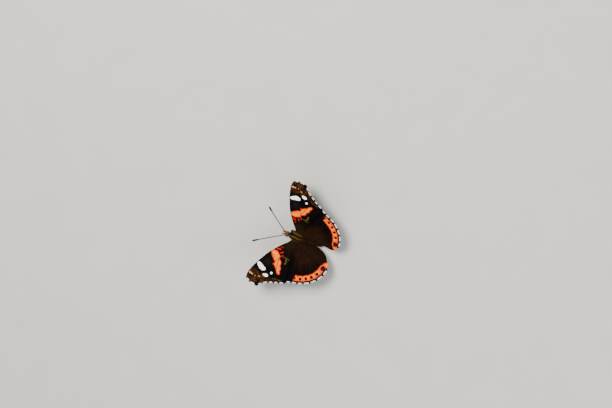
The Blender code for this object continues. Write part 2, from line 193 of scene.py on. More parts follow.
class Shader:
    def __init__(self, name, colours, **fixed):
        self.colours = colours
        self.material = bpy.data.materials.new(name)
        self.material.use_nodes = True
        self.nodes = self.material.node_tree.nodes
        self.links = self.material.node_tree.links
        self.surface = self.nodes["Principled BSDF"]
        for socket, value in fixed.items():
            self.surface.inputs[socket.replace("_", " ")].default_value = value

    def add(self, kind, settings, *inputs, **named):
        node = self.nodes.new("ShaderNode" + kind)
        out = None
        for key, value in settings.items():
            if key == "stops":
                self.setStops(node, value)
            elif key == "out":
                out = value
            else:
                setattr(node, key, value)
        for index, value in enumerate(inputs):
            self.feed(node.inputs[index], value)
        for key, value in named.items():
            wanted = [socket for socket in node.inputs if key in (socket.identifier, socket.name)]
            self.feed(wanted[0], value)
        if out:
            wanted = [socket for socket in node.outputs if out in (socket.identifier, socket.name)]
            return Link(self, wanted[0])
        return Link(self, node.outputs[0])

    def setStops(self, node, stops):
        elements = node.color_ramp.elements
        while len(elements) < len(stops):
            elements.new(0.5)
        for element, (position, colour) in zip(elements, stops):
            element.position = position
            element.color = (*colour, 1.0)

    def feed(self, socket, value):
        if isinstance(value, Link):
            self.links.new(value.socket, socket)
        elif socket.type == "RGBA":
            socket.default_value = (*value[:3], 1.0)
        else:
            socket.default_value = value

    def layered(self, base, *coats):
        # Colours laid one over another, each by its amount. Names are looked up in the shader's colours.
        settings = {"data_type": "RGBA", "out": "Result_Color"}
        colour = self.colours.get(base, base)
        for amount, coat in coats:
            coat = self.colours.get(coat, coat)
            colour = self.add("Mix", settings, Factor_Float=amount, A_Color=colour, B_Color=coat)
        return colour

    def value(self, name):
        return self.add("Attribute", {"attribute_name": name, "out": "Fac"})

    def vector(self, x, y, z):
        return self.add("CombineXYZ", {}, x, y, z)

    def place(self):
        # The point on the object, in millimetres
        spot = self.add("TexCoord", {"out": "Object"})
        return self.add("VectorMath", {"operation": "SCALE"}, spot, Scale=1 / mm)

    def noise(self, spot, scale, detail, roughness=0.55):
        return self.add("TexNoise", {"out": "Fac"}, Vector=spot, Scale=scale, Detail=detail,
                        Roughness=roughness)

    def cells(self, spot, scale):
        return self.add("TexVoronoi", {"out": "Distance"}, Vector=spot, Scale=scale)

    def bump(self, height, strength, distance):
        return self.add("Bump", {"out": "Normal"}, Height=height, Strength=strength, Distance=distance)

    def finish(self, **links):
        for socket, value in links.items():
            self.feed(self.surface.inputs[socket.replace("_", " ")], value)
        return self.material


# Meshes from arrays

def bakeSpread(first, second, span=0.95):
    # Two shares from 0 to 1 as places on the OFBake map, clear of its edges
    return np.stack([0.02 + span * first, 0.02 + span * second], axis=1)


def makePiece(name, points, faces, material, values=None, bakeMap=None):
    mesh = bpy.data.meshes.new(name)
    mesh.from_pydata((np.asarray(points) * mm).tolist(), [], [tuple(face) for face in faces])
    for key, numbers in (values or {}).items():
        attribute = mesh.attributes.new(key, "FLOAT", "POINT")
        attribute.data.foreach_set("value", np.asarray(numbers, np.float32))
    if bakeMap is not None:
        layer = mesh.uv_layers.new(name="OFBake")
        corners = np.empty(len(mesh.loops), np.int32)
        mesh.loops.foreach_get("vertex_index", corners)
        layer.data.foreach_set("uv", np.asarray(bakeMap, np.float32)[corners].ravel())
    mesh.materials.append(material)
    mesh.shade_smooth()
    mesh.update()
    piece = bpy.data.objects.new(name, mesh)
    bpy.context.scene.collection.objects.link(piece)
    return piece


def meshPoints(mesh):
    co = np.empty(len(mesh.vertices) * 3, np.float32)
    mesh.vertices.foreach_get("co", co)
    return co.reshape(-1, 3)


def placePiece(piece, slot, *nodes):
    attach(piece, "root")
    if nodes:
        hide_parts(*nodes)
    return piece


def turnFaces(faces):
    return [tuple(reversed(face)) for face in faces]


def makePair(name, node, slot, points, faces, material, values=None, bakeMap=None):
    # The left piece and its mirror image. The side goes into the name's braces and after the node.
    for side in ("left", "right"):
        if side == "right":
            points, faces = points * np.array([-1.0, 1.0, 1.0]), turnFaces(faces)
        piece = makePiece(name.format(side.title()), points, faces, material, values, bakeMap)
        placePiece(piece, slot, *([f"{node}_{side}"] if node else []))


def ringFaces(rings, sides):
    # Quads between closed rings of vertices that follow one another
    faces = []
    for ring in range(rings - 1):
        for side in range(sides):
            after = (side + 1) % sides
            faces.append((ring * sides + side, ring * sides + after,
                          (ring + 1) * sides + after, (ring + 1) * sides + side))
    return faces


def unit(vectors):
    return vectors / np.maximum(np.linalg.norm(vectors, axis=-1, keepdims=True), 1e-12)


def tubeMesh(line, radii, sides):
    # Rings along a line, closed to a point at both ends. Also gives each vertex's share of the length.
    line = np.asarray(line, float)
    ahead = unit(np.gradient(line, axis=0))
    aside = np.cross(ahead[0], (0.0, 0.0, 1.0))
    rings = []
    for spot, way, radius in zip(line, ahead, radii):
        aside = unit(aside - way * (aside @ way))
        above = np.cross(aside, way)
        turn = np.arange(sides) * math.tau / sides
        rings.append(spot + radius * (np.cos(turn)[:, None] * aside + np.sin(turn)[:, None] * above))
    points = np.vstack([np.vstack(rings), line[:1], line[-1:]])
    count = len(line)
    faces = ringFaces(count, sides)
    first, last = count * sides, count * sides + 1
    for side in range(sides):
        after = (side + 1) % sides
        faces.append((first, after, side))
        faces.append((last, (count - 1) * sides + side, (count - 1) * sides + after))
    length = lengthAlong(line)
    share = np.concatenate([np.repeat(length / length[-1], sides), [0, 1]])
    around = np.concatenate([np.tile(np.arange(sides) / sides, count), [0, 0]])
    return points, turnFaces(faces), share, around


tuftBuild = {
    "corners": (0.0, 2.1, 4.2),   # of a blade's section, as angles
    "flatness": 0.5,
    "taper": 0.6,
    "patch": 0.003,               # of each tuft on the OFBake map
}


def tuftMesh(roots, ways, normals, lengths, widths, bends, bakeSpots, segments=3):
    # Tapered three-sided blades that bend down towards the skin
    count = len(roots)
    ways, normals = unit(ways), unit(normals)
    aside = unit(np.cross(ways, normals))
    rows = []
    for ring in range(segments):
        t = ring / segments
        spine = roots + ways * (lengths * t)[:, None] - normals * (bends * lengths * t * t)[:, None]
        width = widths * (1 - t) ** tuftBuild["taper"]
        for angle in tuftBuild["corners"]:
            rows.append(spine + aside * (width * math.cos(angle))[:, None]
                        + normals * (tuftBuild["flatness"] * width * math.sin(angle))[:, None])
    rows.append(roots + ways * lengths[:, None] - normals * (bends * lengths)[:, None])
    perTuft = len(rows)
    points = np.stack(rows, axis=1).reshape(-1, 3)
    pattern = [(0, 2, 1)]
    for ring in range(segments - 1):
        for side in range(3):
            low, after = ring * 3 + side, ring * 3 + (side + 1) % 3
            pattern.append((low, after, after + 3))
            pattern.append((low, after + 3, low + 3))
    top = (segments - 1) * 3
    for side in range(3):
        pattern.append((top + side, top + (side + 1) % 3, perTuft - 1))
    starts = np.arange(count)[:, None, None] * perTuft
    faces = (np.array(pattern)[None] + starts).reshape(-1, 3)
    along = np.array([ring / segments for ring in range(segments) for _ in range(3)] + [1.0])
    sideways = np.array([0.0, 0.5, 1.0] * segments + [0.5])
    patch = np.stack([sideways, along], axis=1) * tuftBuild["patch"]
    bakeMap = (bakeSpots[:, None, :] + patch[None]).reshape(-1, 2)
    return points, faces.tolist(), np.tile(along, count), bakeMap, perTuft


# Camera at the photo's place

cameraSet = {
    "right": (-0.4120, 0.8653, -0.2856),
    "up": (-0.8148, -0.4902, -0.3095),
    "aimRight": 5.59,             # of the wing roots' middle, in the picture's plane
    "aimUp": 17.13,
    "frameWidth": 319.6,          # what the picture spans at the insect
    "lens": 200.0,
    "sensor": 36.0,
}


def makeCamera():
    right = Vector(cameraSet["right"]).normalized()
    up = Vector(cameraSet["up"])
    up = (up - right * up.dot(right)).normalized()
    back = right.cross(up)
    root = Vector(fromRoot(0.0, 0.0, 0.0))
    aim = root + right * cameraSet["aimRight"] + up * cameraSet["aimUp"]
    distance = cameraSet["frameWidth"] * cameraSet["lens"] / cameraSet["sensor"]
    data = bpy.data.cameras.new("camera")
    data.lens = cameraSet["lens"]
    data.sensor_width = cameraSet["sensor"]
    data.clip_start = 0.01
    camera = bpy.data.objects.new("camera", data)
    turn = Matrix((right, up, back)).transposed()
    camera.matrix_world = Matrix.LocRotScale((aim + back * distance) * mm, turn, None)
    bpy.context.scene.collection.objects.link(camera)
    bpy.context.scene.camera = camera
    print("camera placed")


# Wings

wingPlans = {
    "forewing": {
        "costa": ((-1.6, 0.6), (0.6, 1.9), (4.2, 5.3), (9.3, 9.3), (15.3, 12.7), (20.6, 15.1),
                  (24.5, 16.2), (27.0, 15.9)),
        "dorsum": ((22.1, -4.1), (20.7, -4.6), (15.0, -3.5), (8.0, -2.7), (2.0, -2.3), (-1.6, -2.2)),
        "veins": {
            "subcosta": ((-1.5, 0.2), (4.4, 4.4), (9.4, 8.2), (13.8, 11.1)),
            "radius": ((-1.5, -0.2), (4.5, 3.1), (9.5, 6.3), (13.6, 8.6)),
            "radius1": ((9.5, 6.3), (13.6, 9.8), (17.6, 12.9)),
            "radius2": ((13.6, 8.6), (17.8, 11.8), (21.4, 14.5)),
            "radius4": ((13.6, 8.6), (19.2, 11.6), (24.0, 14.3), (27.0, 15.9)),
            "radius5": ((19.2, 11.6), (24.0, 12.8), (28.3, 13.4)),
            "media1": ((13.6, 8.6), (19.0, 9.2), (24.0, 9.4), (28.9, 9.2)),
            "media2": ((13.4, 7.0), (18.0, 7.3), (22.4, 7.1), (26.3, 6.8)),
            "media3": ((12.9, 4.7), (17.5, 5.0), (21.5, 4.6), (24.9, 4.1)),
            "cubitus": ((-1.5, -0.8), (3.4, 1.0), (7.2, 2.2), (10.4, 3.5), (12.9, 4.7)),
            "cubitus1": ((10.4, 3.5), (15.0, 2.9), (19.5, 2.1), (23.9, 1.4)),
            "cubitus2": ((7.2, 2.2), (12.0, 0.9), (17.8, -0.4), (22.9, -1.2)),
            "anal": ((-1.5, -1.3), (5.0, -1.0), (13.0, -1.9), (22.1, -4.1)),
            "cellEnd": ((13.6, 8.6), (13.4, 7.0), (12.9, 4.7)),
        },
        "margin": ("radius4", "radius5", "media1", "media2", "media3", "cubitus1", "cubitus2", "anal"),
        "level": -0.18,
        "folds": False,
    },
    "hindwing": {
        "costa": ((-1.6, -1.9), (1.0, -1.6), (6.0, -1.0), (12.0, -0.8), (17.2, -1.9), (21.1, -4.4)),
        "dorsum": ((6.6, -22.4), (3.6, -21.4), (0.7, -18.8), (-0.8, -16.2), (-1.8, -13.4), (-2.0, -11.2),
                   (-2.0, -8.8), (-2.1, -7.0), (-2.1, -5.6), (-2.0, -4.6)),
        "veins": {
            "subcosta": ((-1.5, -3.2), (4.0, -2.6), (10.0, -2.1), (15.6, -2.6), (21.1, -4.4)),
            "radius": ((-1.5, -3.6), (3.2, -4.8), (8.4, -7.8)),
            "sector": ((3.2, -4.8), (9.0, -5.4), (14.6, -6.2), (20.2, -7.1)),
            "media1": ((8.4, -7.8), (13.6, -9.1), (19.5, -10.2)),
            "media2": ((8.4, -7.8), (13.2, -10.7), (18.4, -13.3)),
            "media3": ((6.6, -12.4), (11.4, -14.6), (16.5, -16.5)),
            "cubitus": ((-1.5, -4.0), (2.2, -7.0), (4.8, -10.2), (6.6, -12.4)),
            "cubitus1": ((6.6, -12.4), (10.0, -16.2), (13.8, -19.3)),
            "cubitus2": ((4.8, -10.2), (7.2, -15.8), (10.2, -21.4)),
            "anal": ((-1.5, -4.4), (1.8, -9.4), (3.8, -15.4), (6.6, -22.4)),
            "cellEnd": ((8.4, -7.8), (7.6, -10.2), (6.6, -12.4)),
        },
        "margin": ("subcosta", "sector", "media1", "media2", "media3", "cubitus1", "cubitus2", "anal"),
        "level": 0.18 - stance["wingTiers"],
        "folds": True,
    },
}

wingBuild = {
    "gridStep": 0.27,
    "edgeStep": 0.25,
    "scallopDepth": 0.3,
    "halfThickness": 0.05,
    "veinRelief": 0.11,
    "veinWidth": 0.15,
    "edgeThickness": 0.35,        # share of the thickness left at the margin
    "costaBead": 0.10,            # the thickened front edge
    "costaBeadWidth": 0.22,
    "pleatDepth": 0.24,           # how far the membrane sinks between veins
    "pleatReach": 1.3,
    "waveHeight": 0.07,
    "bakeScale": 0.0225,          # of the plan on the OFBake map, for each millimetre
}

# Markings on the wing plans: rings round the patches, and lines with their half widths
forewingRings = {
    "bandDepth": (((8.3, 8.8), (10.0, 8.1), (11.2, 7.0), (12.6, 5.6), (13.5, 5.0), (14.2, 5.5),
                   (15.0, 5.2), (15.2, 4.5), (16.2, 3.6), (16.9, 2.9), (18.2, 2.1), (19.1, 1.0),
                   (18.9, 0.1), (17.9, -0.1), (16.9, 0.5), (16.0, 0.2), (14.9, 0.7), (14.3, 1.3),
                   (12.9, 1.2), (11.7, 1.7), (11.2, 2.6), (10.5, 3.0), (9.2, 2.9), (8.9, 3.8),
                   (8.0, 4.4), (7.3, 5.6), (7.2, 7.7)),),
    "whiteDepth": (((16.3, 12.5), (17.0, 13.2), (18.3, 12.5), (19.6, 11.0), (20.1, 9.4), (19.7, 8.2),
                    (18.9, 7.8), (18.1, 8.4), (17.5, 9.8), (16.6, 11.1)),
                   ((21.7, 8.4), (22.4, 7.7), (22.6, 6.4), (22.2, 5.5), (21.4, 5.4), (20.9, 6.0),
                    (21.1, 7.5)),
                   ((20.17, 4.22), (20.05, 4.58), (19.74, 4.81), (19.36, 4.81), (19.05, 4.58), (18.93, 4.22),
                    (19.05, 3.86), (19.36, 3.63), (19.74, 3.63), (20.05, 3.86))),
    "faintDepth": (((23.1, 15.4), (23.8, 15.2), (24.2, 13.3), (23.8, 13.0)),
                   ((24.1, 12.1), (24.5, 11.9), (24.3, 11.5), (24.0, 11.7)),
                   ((23.4, 10.2), (24.0, 9.8), (23.9, 9.2), (23.4, 9.4))),
}
forewingLines = {
    "fleckDepth": (((6.3, 6.4), (6.0, 4.0), 0.26), ((7.9, 3.7), (6.9, 2.4), 0.24),
                   ((4.8, 5.0), (4.6, 3.4), 0.14), ((9.3, 2.6), (8.5, 1.9), 0.14)),
    "oliveDepth": (((9.2, 1.6), (9.3, -0.6), 0.16), ((9.3, -0.4), (9.5, -1.6), 0.12),
                   ((9.3, -0.2), (11.2, -0.7), 0.16), ((11.2, -0.7), (12.6, -0.6), 0.10),
                   ((21.6, -1.9), (21.7, 0.2), 0.12), ((21.8, 0.7), (22.0, 2.3), 0.10)),
}
hindwingMarks = {
    "bandInner": 4.0,             # from the outer margin
    "bandOuter": 0.95,
    "bandStart": -7.6,            # along the plan
    "dotPlace": 2.5,
    "dotRadius": 0.78,
    "tornus": (6.9, -20.0),
    "tornusClear": 1.2,
    "tornusSpot": 0.52,
}


def scalloped(ends, step):
    line = [np.array(ends[0], float)]
    for start, stop in zip(ends, ends[1:]):
        start, stop = np.array(start), np.array(stop)
        span = stop - start
        inward = unit(np.array([span[1], -span[0]]))
        pieces = max(2, round(float(np.linalg.norm(span)) / step))
        for index in range(1, pieces + 1):
            t = index / pieces
            line.append(start + span * t + inward * wingBuild["scallopDepth"] * 4 * t * (1 - t))
    return np.array(line)


def planLines(plan):
    lines = {key: smoothLine(keys, 0.5) for key, keys in plan["veins"].items()}
    front = smoothLine(plan["costa"], wingBuild["edgeStep"])
    outer = scalloped([lines[key][-1] for key in plan["margin"]], wingBuild["edgeStep"])
    back = smoothLine(plan["dorsum"], wingBuild["edgeStep"])
    return lines, front, outer, back


def planRing(plan):
    # The whole outline, once round
    _, front, outer, back = planLines(plan)
    return np.vstack([front, outer[1:], back[1:]])


def planUnwrap(plan, spots, upper):
    # The plan on the OFBake map, the upper face above the lower one
    corner = planRing(plan).min(axis=0)
    return (spots - corner) * wingBuild["bakeScale"] + (0.01, 0.51 if upper else 0.01)


def planFields(plan, spots):
    # What the markings need to know at each point of a wing plan
    lines, front, outer, back = planLines(plan)
    veinGap = np.full(len(spots), np.inf)
    veinSize = np.zeros(len(spots))
    for line in lines.values():
        gap, share = gapTo(spots, line)
        nearer = gap < veinGap
        veinGap[nearer] = gap[nearer]
        veinSize[nearer] = 1.0 - 0.55 * share[nearer]
    return {
        "veinGap": veinGap,
        "veinSize": veinSize,
        "marginGap": gapTo(spots, outer)[0],
        "costaGap": gapTo(spots, front)[0],
        "dorsumGap": gapTo(spots, back)[0],
    }


def wingLevel(plan, spots, fields):
    # Height of the wing's middle above its flat plan, with its pleats and soft waves
    sag = foldDrop(spots) if plan["folds"] else 0.0
    depth = wingBuild["pleatDepth"]
    pleat = ramp(fields["veinGap"], 0.0, wingBuild["pleatReach"]) * ramp(fields["costaGap"], 0.0, 2.0)
    wave = np.sin(spots[:, 0] * 0.9 + spots[:, 1] * 0.35) * ramp(spots[:, 0], 8.0, 20.0)
    return plan["level"] - sag + depth * (0.5 - pleat) + wingBuild["waveHeight"] * wave


def makeWing(kind, material):
    plan = wingPlans[kind]
    ring = planRing(plan)
    low, high = ring.min(axis=0), ring.max(axis=0)
    step = wingBuild["gridStep"]
    across, rows = np.meshgrid(np.arange(low[0], high[0], step),
                               np.arange(low[1], high[1], step * math.sqrt(0.75)))
    across[1::2] += 0.5 * step
    grid = np.stack([across.ravel(), rows.ravel()], axis=1)
    grid = grid[depthIn(grid, ring) > 0.5 * step]
    allSpots = [Vector(spot) for spot in np.vstack([ring, grid])]
    spots, _, faces, _, _, _ = delaunay_2d_cdt(allSpots, [], [list(range(len(ring)))], 1, 1e-5)
    spots = np.array([tuple(spot) for spot in spots])
    fields = planFields(plan, spots)
    level = wingLevel(plan, spots, fields)
    veinWidth = wingBuild["veinWidth"] * 0.6 * (1 + fields["veinSize"])
    ridge = wingBuild["veinRelief"] * fields["veinSize"] * np.exp(-(fields["veinGap"] / veinWidth) ** 2)
    edge = np.minimum(fields["marginGap"], np.minimum(fields["costaGap"], fields["dorsumGap"]))
    thin = wingBuild["edgeThickness"]
    half = wingBuild["halfThickness"] * (thin + (1 - thin) * ramp(edge, 0.0, 0.4)) + ridge
    bead = np.exp(-(fields["costaGap"] / wingBuild["costaBeadWidth"]) ** 2) * ramp(spots[:, 0], 27.0, 12.0)
    half = half + wingBuild["costaBead"] * bead
    top, below = onWing(spots, level + half), onWing(spots, level - half)
    count = len(spots)
    topFaces = [tuple(face) for face in faces]
    a, b, c = (top[index] for index in topFaces[0])
    if np.cross(b - a, c - a)[2] < 0:
        topFaces = turnFaces(topFaces)
    edges = {edge: None for face in topFaces for edge in zip(face, face[1:] + face[:1])}
    allFaces = topFaces + [tuple(index + count for index in reversed(face)) for face in topFaces]
    for start, stop in edges:
        if (stop, start) not in edges:
            allFaces.append((start, start + count, stop + count))
            allFaces.append((start, stop + count, stop))
    values = {key: np.tile(numbers, 2) for key, numbers in fields.items()}
    values["planOut"] = np.tile(spots[:, 0], 2)
    values["planForward"] = np.tile(spots[:, 1], 2)
    values["upper"] = np.repeat([1.0, 0.0], count)
    marks = forewingFields(spots) if kind == "forewing" else hindwingFields(plan, spots, fields)
    values.update({key: np.tile(numbers, 2) for key, numbers in marks.items()})
    bakeMap = np.vstack([planUnwrap(plan, spots, True), planUnwrap(plan, spots, False)])
    makePair(kind + "{}Wing", kind, "wing", np.vstack([top, below]), allFaces, material, values, bakeMap)


def deepest(depths):
    return np.maximum.reduce(list(depths))


def forewingFields(spots):
    # Depth of each point in the patches of colour, below zero outside them
    fields = {}
    for key, rings in forewingRings.items():
        fields[key] = deepest(depthIn(spots, np.array(ring)) for ring in rings)
    for key, dashes in forewingLines.items():
        fields[key] = deepest(width - gapTo(spots, np.array((start, stop)))[0]
                              for start, stop, width in dashes)
    return fields


def hindwingFields(plan, spots, fields):
    marks = hindwingMarks
    ends = [np.array(plan["veins"][key][-1]) for key in plan["margin"]]
    dots = []
    for start, stop in zip(ends[1:6], ends[2:7]):
        inward = unit(np.array([(stop - start)[1], -(stop - start)[0]]))
        centre = (start + stop) / 2 + inward * marks["dotPlace"]
        dots.append(marks["dotRadius"] - np.linalg.norm(spots - centre, axis=1))
    dots[0] = dots[0] - 0.2
    tornusGap = np.linalg.norm(spots - marks["tornus"], axis=1)
    band = np.minimum(fields["marginGap"] - marks["bandOuter"], marks["bandInner"] - fields["marginGap"])
    band = np.minimum(band, (marks["bandStart"] - spots[:, 1]) * 0.8)
    band = np.minimum(band, tornusGap - marks["tornusClear"])
    return {"bandDepth": band, "dotDepth": deepest(dots), "blueDepth": marks["tornusSpot"] - tornusGap}


wingColours = {
    "black": (0.0010, 0.0008, 0.0010),
    "brown": (0.0095, 0.0042, 0.0018),
    "olive": (0.095, 0.068, 0.010),
    "apex": (0.074, 0.0225, 0.0032),
    "sheen": (0.0035, 0.0065, 0.0070),
    "bandEdge": (0.42, 0.012, 0.0005),
    "bandCentre": (0.66, 0.112, 0.0002),
    # paler salmon blotches of the orange bands: part scale colour, part painted highlight
    "bandBlush": (0.80, 0.270, 0.004),
    "white": (0.88, 0.87, 0.86),
    "cream": (0.58, 0.36, 0.19),
    "blue": (0.012, 0.018, 0.048),
    "maroon": (0.0048, 0.0018, 0.0012),
    "rust": (0.0200, 0.0058, 0.0022),
    "underRed": (0.58, 0.060, 0.020),
    "underBrown": (0.036, 0.017, 0.008),
    "underGrey": (0.120, 0.088, 0.060),
}


class WingPaint:
    # What both wings' materials share: places on the plan, noises at three sizes and the veins
    def __init__(self, name, hubOut, hubForward, shift):
        self.shader = shader = Shader(name, wingColours, Roughness=0.7, Specular_IOR_Level=0.015)
        self.out, self.forward = shader.value("planOut"), shader.value("planForward")
        self.upper = shader.value("upper")
        self.spot = shader.vector(self.out, self.forward, self.upper * 7.0 + shift)
        self.broad = shader.noise(self.spot, 0.55, 3.0)
        self.patchy = shader.noise(self.spot, 1.6, 4.0, 0.65)
        self.grain = shader.noise(self.spot, 6.5, 3.0, 0.7)
        angle = (self.forward - hubForward).maths("ARCTAN2", self.out - hubOut)
        self.reach = self.away(hubOut, hubForward)
        fan = shader.vector(angle * 26.0, self.reach * 0.42, self.upper * 3.0)
        self.streaks = shader.noise(fan, 1.0, 4.0, 0.6)
        self.vein = (0.20 - shader.value("veinGap")).between(-0.06, 0.06) * shader.value("veinSize")
        self.cell = shader.value("veinGap").between(0.15, 1.1)

    def away(self, out, forward, outScale=1.0, forwardScale=1.0):
        across, along = (self.out - out) * outScale, (self.forward - forward) * forwardScale
        return (across * across + along * along) ** 0.5

    def edged(self, name, ragged, fine=0.25):
        # A patch's depth with its edge broken up along the rows of scales
        ruffle = (self.patchy - 0.5) * ragged + (self.streaks - 0.5) * ragged + (self.grain - 0.5) * fine
        return self.shader.value(name) + ruffle

    def finish(self, above, below):
        shader, grain = self.shader, self.grain
        colour = shader.layered(below, (self.upper.between(0.4, 0.6), above),
                                (grain.between(0.30, 0.80) * 0.30, pureBlack))
        rows = shader.cells(self.spot, 9.0)
        fine = shader.noise(self.spot, 22.0, 2.0)
        height = self.patchy * 0.6 + self.streaks * 0.5 + rows * 0.5 + fine * 0.5
        return shader.finish(Base_Color=colour, Roughness=0.60 + grain * 0.25,
                             Normal=shader.bump(height, 0.55, 0.00004))


def orangeBand(paint, depth, dark, pale):
    # Orange with salmon blotches inside, partly the scales' colour and partly painted highlight, red at the
    # edge, with dark veins and dusted scales
    return paint.shader.layered(
        "bandEdge",
        (depth.between(0.08, 0.85), "bandCentre"),
        # pale blotches in the band's middle, partly painted highlight
        (depth.between(0.45, 1.2) * paint.patchy.between(0.44, 0.60) * pale, "bandBlush"),
        (paint.streaks.between(0.46, 0.66) * 0.5, "bandEdge"),
        (paint.grain.between(0.48, 0.80) * 0.45, "bandEdge"),
        (paint.vein * dark, "black"))


def forewingMaterial():
    paint = WingPaint("forewingScales", -6.0, 0.0, 0.0)
    shader, out, forward = paint.shader, paint.out, paint.forward
    patchy, streaks = paint.patchy, paint.streaks
    rootGap, marginGap = paint.away(0.0, 0.0), shader.value("marginGap")
    bandDepth = paint.edged("bandDepth", 0.85, 0.35)
    band = bandDepth.between(-0.10, 0.14)

    sheen = paint.away(14.6, 8.4, 0.40, 0.32).between(1.15, 0.2) * patchy.between(0.32, 0.60)
    apex = (out + forward * 0.18).between(22.0, 25.0) * paint.broad.between(0.36, 0.54)
    apex = apex * (0.12 + (patchy * 0.6 + streaks * 0.4).between(0.44, 0.60) * 0.88)
    rim = marginGap.between(1.6, 0.3) * out.between(24.0, 27.0) * patchy.between(0.40, 0.60)
    olive = (paint.edged("oliveDepth", 1.2) + 0.10).between(-0.30, 0.30) * patchy.between(0.36, 0.58)
    row = (marginGap - 1.5).maths("ABSOLUTE").between(0.30, 0.05)
    row = row * paint.cell * out.between(25.0, 26.5) * streaks.between(0.50, 0.60)
    above = shader.layered(
        "black",
        (paint.cell * streaks.between(0.40, 0.70) * 0.35, "brown"),
        (rootGap.between(9.5, 1.5) * streaks.between(0.30, 0.62), "brown"),
        (sheen * 0.8, "sheen"),
        (apex, "apex"),
        (rim * 0.7, "black"),
        (paint.away(28.4, 9.3).between(2.4, 1.2), "black"),
        (olive * 0.8, "olive"),
        (paint.edged("fleckDepth", 0.45).between(-0.12, 0.12), "bandEdge"),
        (band, orangeBand(paint, bandDepth, out.between(9.0, 12.0) * 0.9, 0.8)),
        (paint.edged("whiteDepth", 0.22, 0.2).between(-0.10, 0.10), "white"),
        (paint.edged("faintDepth", 0.35).between(-0.20, 0.22) * 0.85, "cream"),
        (paint.vein * (1 - band) * 0.45, "brown"),
        (row * 0.45, "blue"))
    return paint.finish(above, forewingUnderside(paint, rootGap))


def forewingUnderside(paint, rootGap):
    # Red cell and band, blue bars, the upper side's white spots and a bark-brown apex
    shader, out, forward, patchy = paint.shader, paint.out, paint.forward, paint.patchy
    mottle = shader.layered("underBrown", (patchy.between(0.40, 0.60), "underGrey"),
                            (paint.streaks.between(0.50, 0.70) * 0.6, "brown"))
    blush = rootGap.between(8.5, 5.0) * (forward - out * 0.4).between(-1.0, 1.0)
    red = (paint.edged("bandDepth", 0.6) + 0.2).between(-0.12, 0.2)
    ring = (paint.away(13.8, 8.2) - 1.25).maths("ABSOLUTE").between(0.32, 0.10)
    return shader.layered(
        "black",
        (patchy.between(0.35, 0.65) * 0.6, "brown"),
        ((out + forward * 0.2).between(20.8, 23.6), mottle),
        (blush * 0.75, "underRed"),
        (forward.between(-1.4, -2.8) * 0.8, "underGrey"),
        (red, "underRed"),
        (ring * (1 - red) * 0.9, "blue"),
        (paint.edged("whiteDepth", 0.25).between(-0.1, 0.12), "white"),
        (paint.edged("faintDepth", 0.4).between(-0.2, 0.3) * 0.7, "cream"),
        (shader.value("marginGap").between(1.4, 0.4) * 0.6, "underBrown"),
        (paint.vein * 0.5, "underBrown"))


def hindwingMaterial():
    paint = WingPaint("hindwingScales", -3.0, -1.0, 20.0)
    out, forward, patchy = paint.out, paint.forward, paint.patchy
    bandDepth = paint.edged("bandDepth", 0.75, 0.3)
    band = bandDepth.between(-0.10, 0.14)

    inner = (out - (forward + 22.0) * 0.12).between(13.0, 3.0)
    blotch = (paint.streaks * 0.6 + patchy * 0.4).between(0.40, 0.62)
    above = paint.shader.layered(
        "maroon",
        (inner * blotch * 0.9, "rust"),
        (forward.between(-9.0, -4.0) * out.between(4.0, 9.0) * 0.9, "black"),
        (paint.reach.between(12.0, 18.0) * patchy.between(0.25, 0.55) * 0.9, "black"),
        (band, orangeBand(paint, bandDepth, 0.8, 0.35)),
        (paint.edged("dotDepth", 0.3).between(-0.08, 0.10), "black"),
        (paint.edged("blueDepth", 0.5).between(-0.15, 0.25) * 0.9, "blue"),
        (paint.vein * (1 - band) * 0.4, "rust"))
    return paint.finish(above, hindwingUnderside(paint))


def hindwingUnderside(paint):
    # Bark-like mottling with wavy cross lines, a row of faint eyes and a pale edge
    shader, patchy = paint.shader, paint.patchy
    rings = ((paint.reach + (patchy - 0.5) * 6.0) * 1.5).maths("SINE")
    eye = shader.value("dotDepth")
    return shader.layered(
        "black",
        (patchy.between(0.35, 0.62), "underBrown"),
        (rings.between(0.35, 0.95) * 0.75, "underGrey"),
        (rings.between(-0.55, -0.95) * 0.8, "black"),
        (paint.streaks.between(0.52, 0.70) * 0.5, "rust"),
        (eye.between(-0.45, -0.2) * 0.7, "underGrey"),
        (eye.between(-0.12, 0.05), "black"),
        (eye.between(0.25, 0.45) * 0.8, "blue"),
        (shader.value("marginGap").between(0.9, 0.3) * 0.6, "underGrey"),
        (paint.vein * 0.45, "underBrown"))


# Fringes and hair

hairColours = {
    "dark": (0.0050, 0.0024, 0.0010),
    "olive": (0.048, 0.028, 0.0068),
    "tan": (0.185, 0.110, 0.026),
    "rust": (0.0165, 0.0052, 0.0018),
    "fox": (0.400, 0.115, 0.010),
    "white": (0.92, 0.91, 0.88),
}


def hairMaterial(name):
    # Tone runs from dark through olive to tan. Rust, fox and white take over where they are set.
    c = hairColours
    shader = Shader(name, c, Roughness=0.72, Specular_IOR_Level=0.05)
    tones = {"stops": ((0.0, c["dark"]), (0.5, c["olive"]), (1.0, c["tan"])), "out": "Color"}
    speck = shader.noise(shader.place(), 5.0, 3.0)
    colour = shader.layered(
        shader.add("ValToRGB", tones, shader.value("tone")),
        *((shader.value(key), key) for key in ("rust", "fox", "white")),
        # painted shade: each hair darker towards its root, under the rest of the coat
        ((1 - shader.value("along")) * 0.45, pureBlack),
        (speck.between(0.3, 0.7) * 0.25, pureBlack))
    return shader.finish(Base_Color=colour, Roughness=0.62 + speck * 0.2)


def makeHair(name, tufts, values, material, slot):
    # A name with braces stands for a left piece and its mirror image
    points, faces, along, bakeMap, perTuft = tuftMesh(**tufts)
    spread = {key: np.repeat(numbers, perTuft) for key, numbers in values.items()}
    spread["along"] = along
    if "{}" in name:
        makePair(name, None, slot, points, faces, material, spread, bakeMap)
    else:
        placePiece(makePiece(name, points, faces, material, spread, bakeMap), slot)


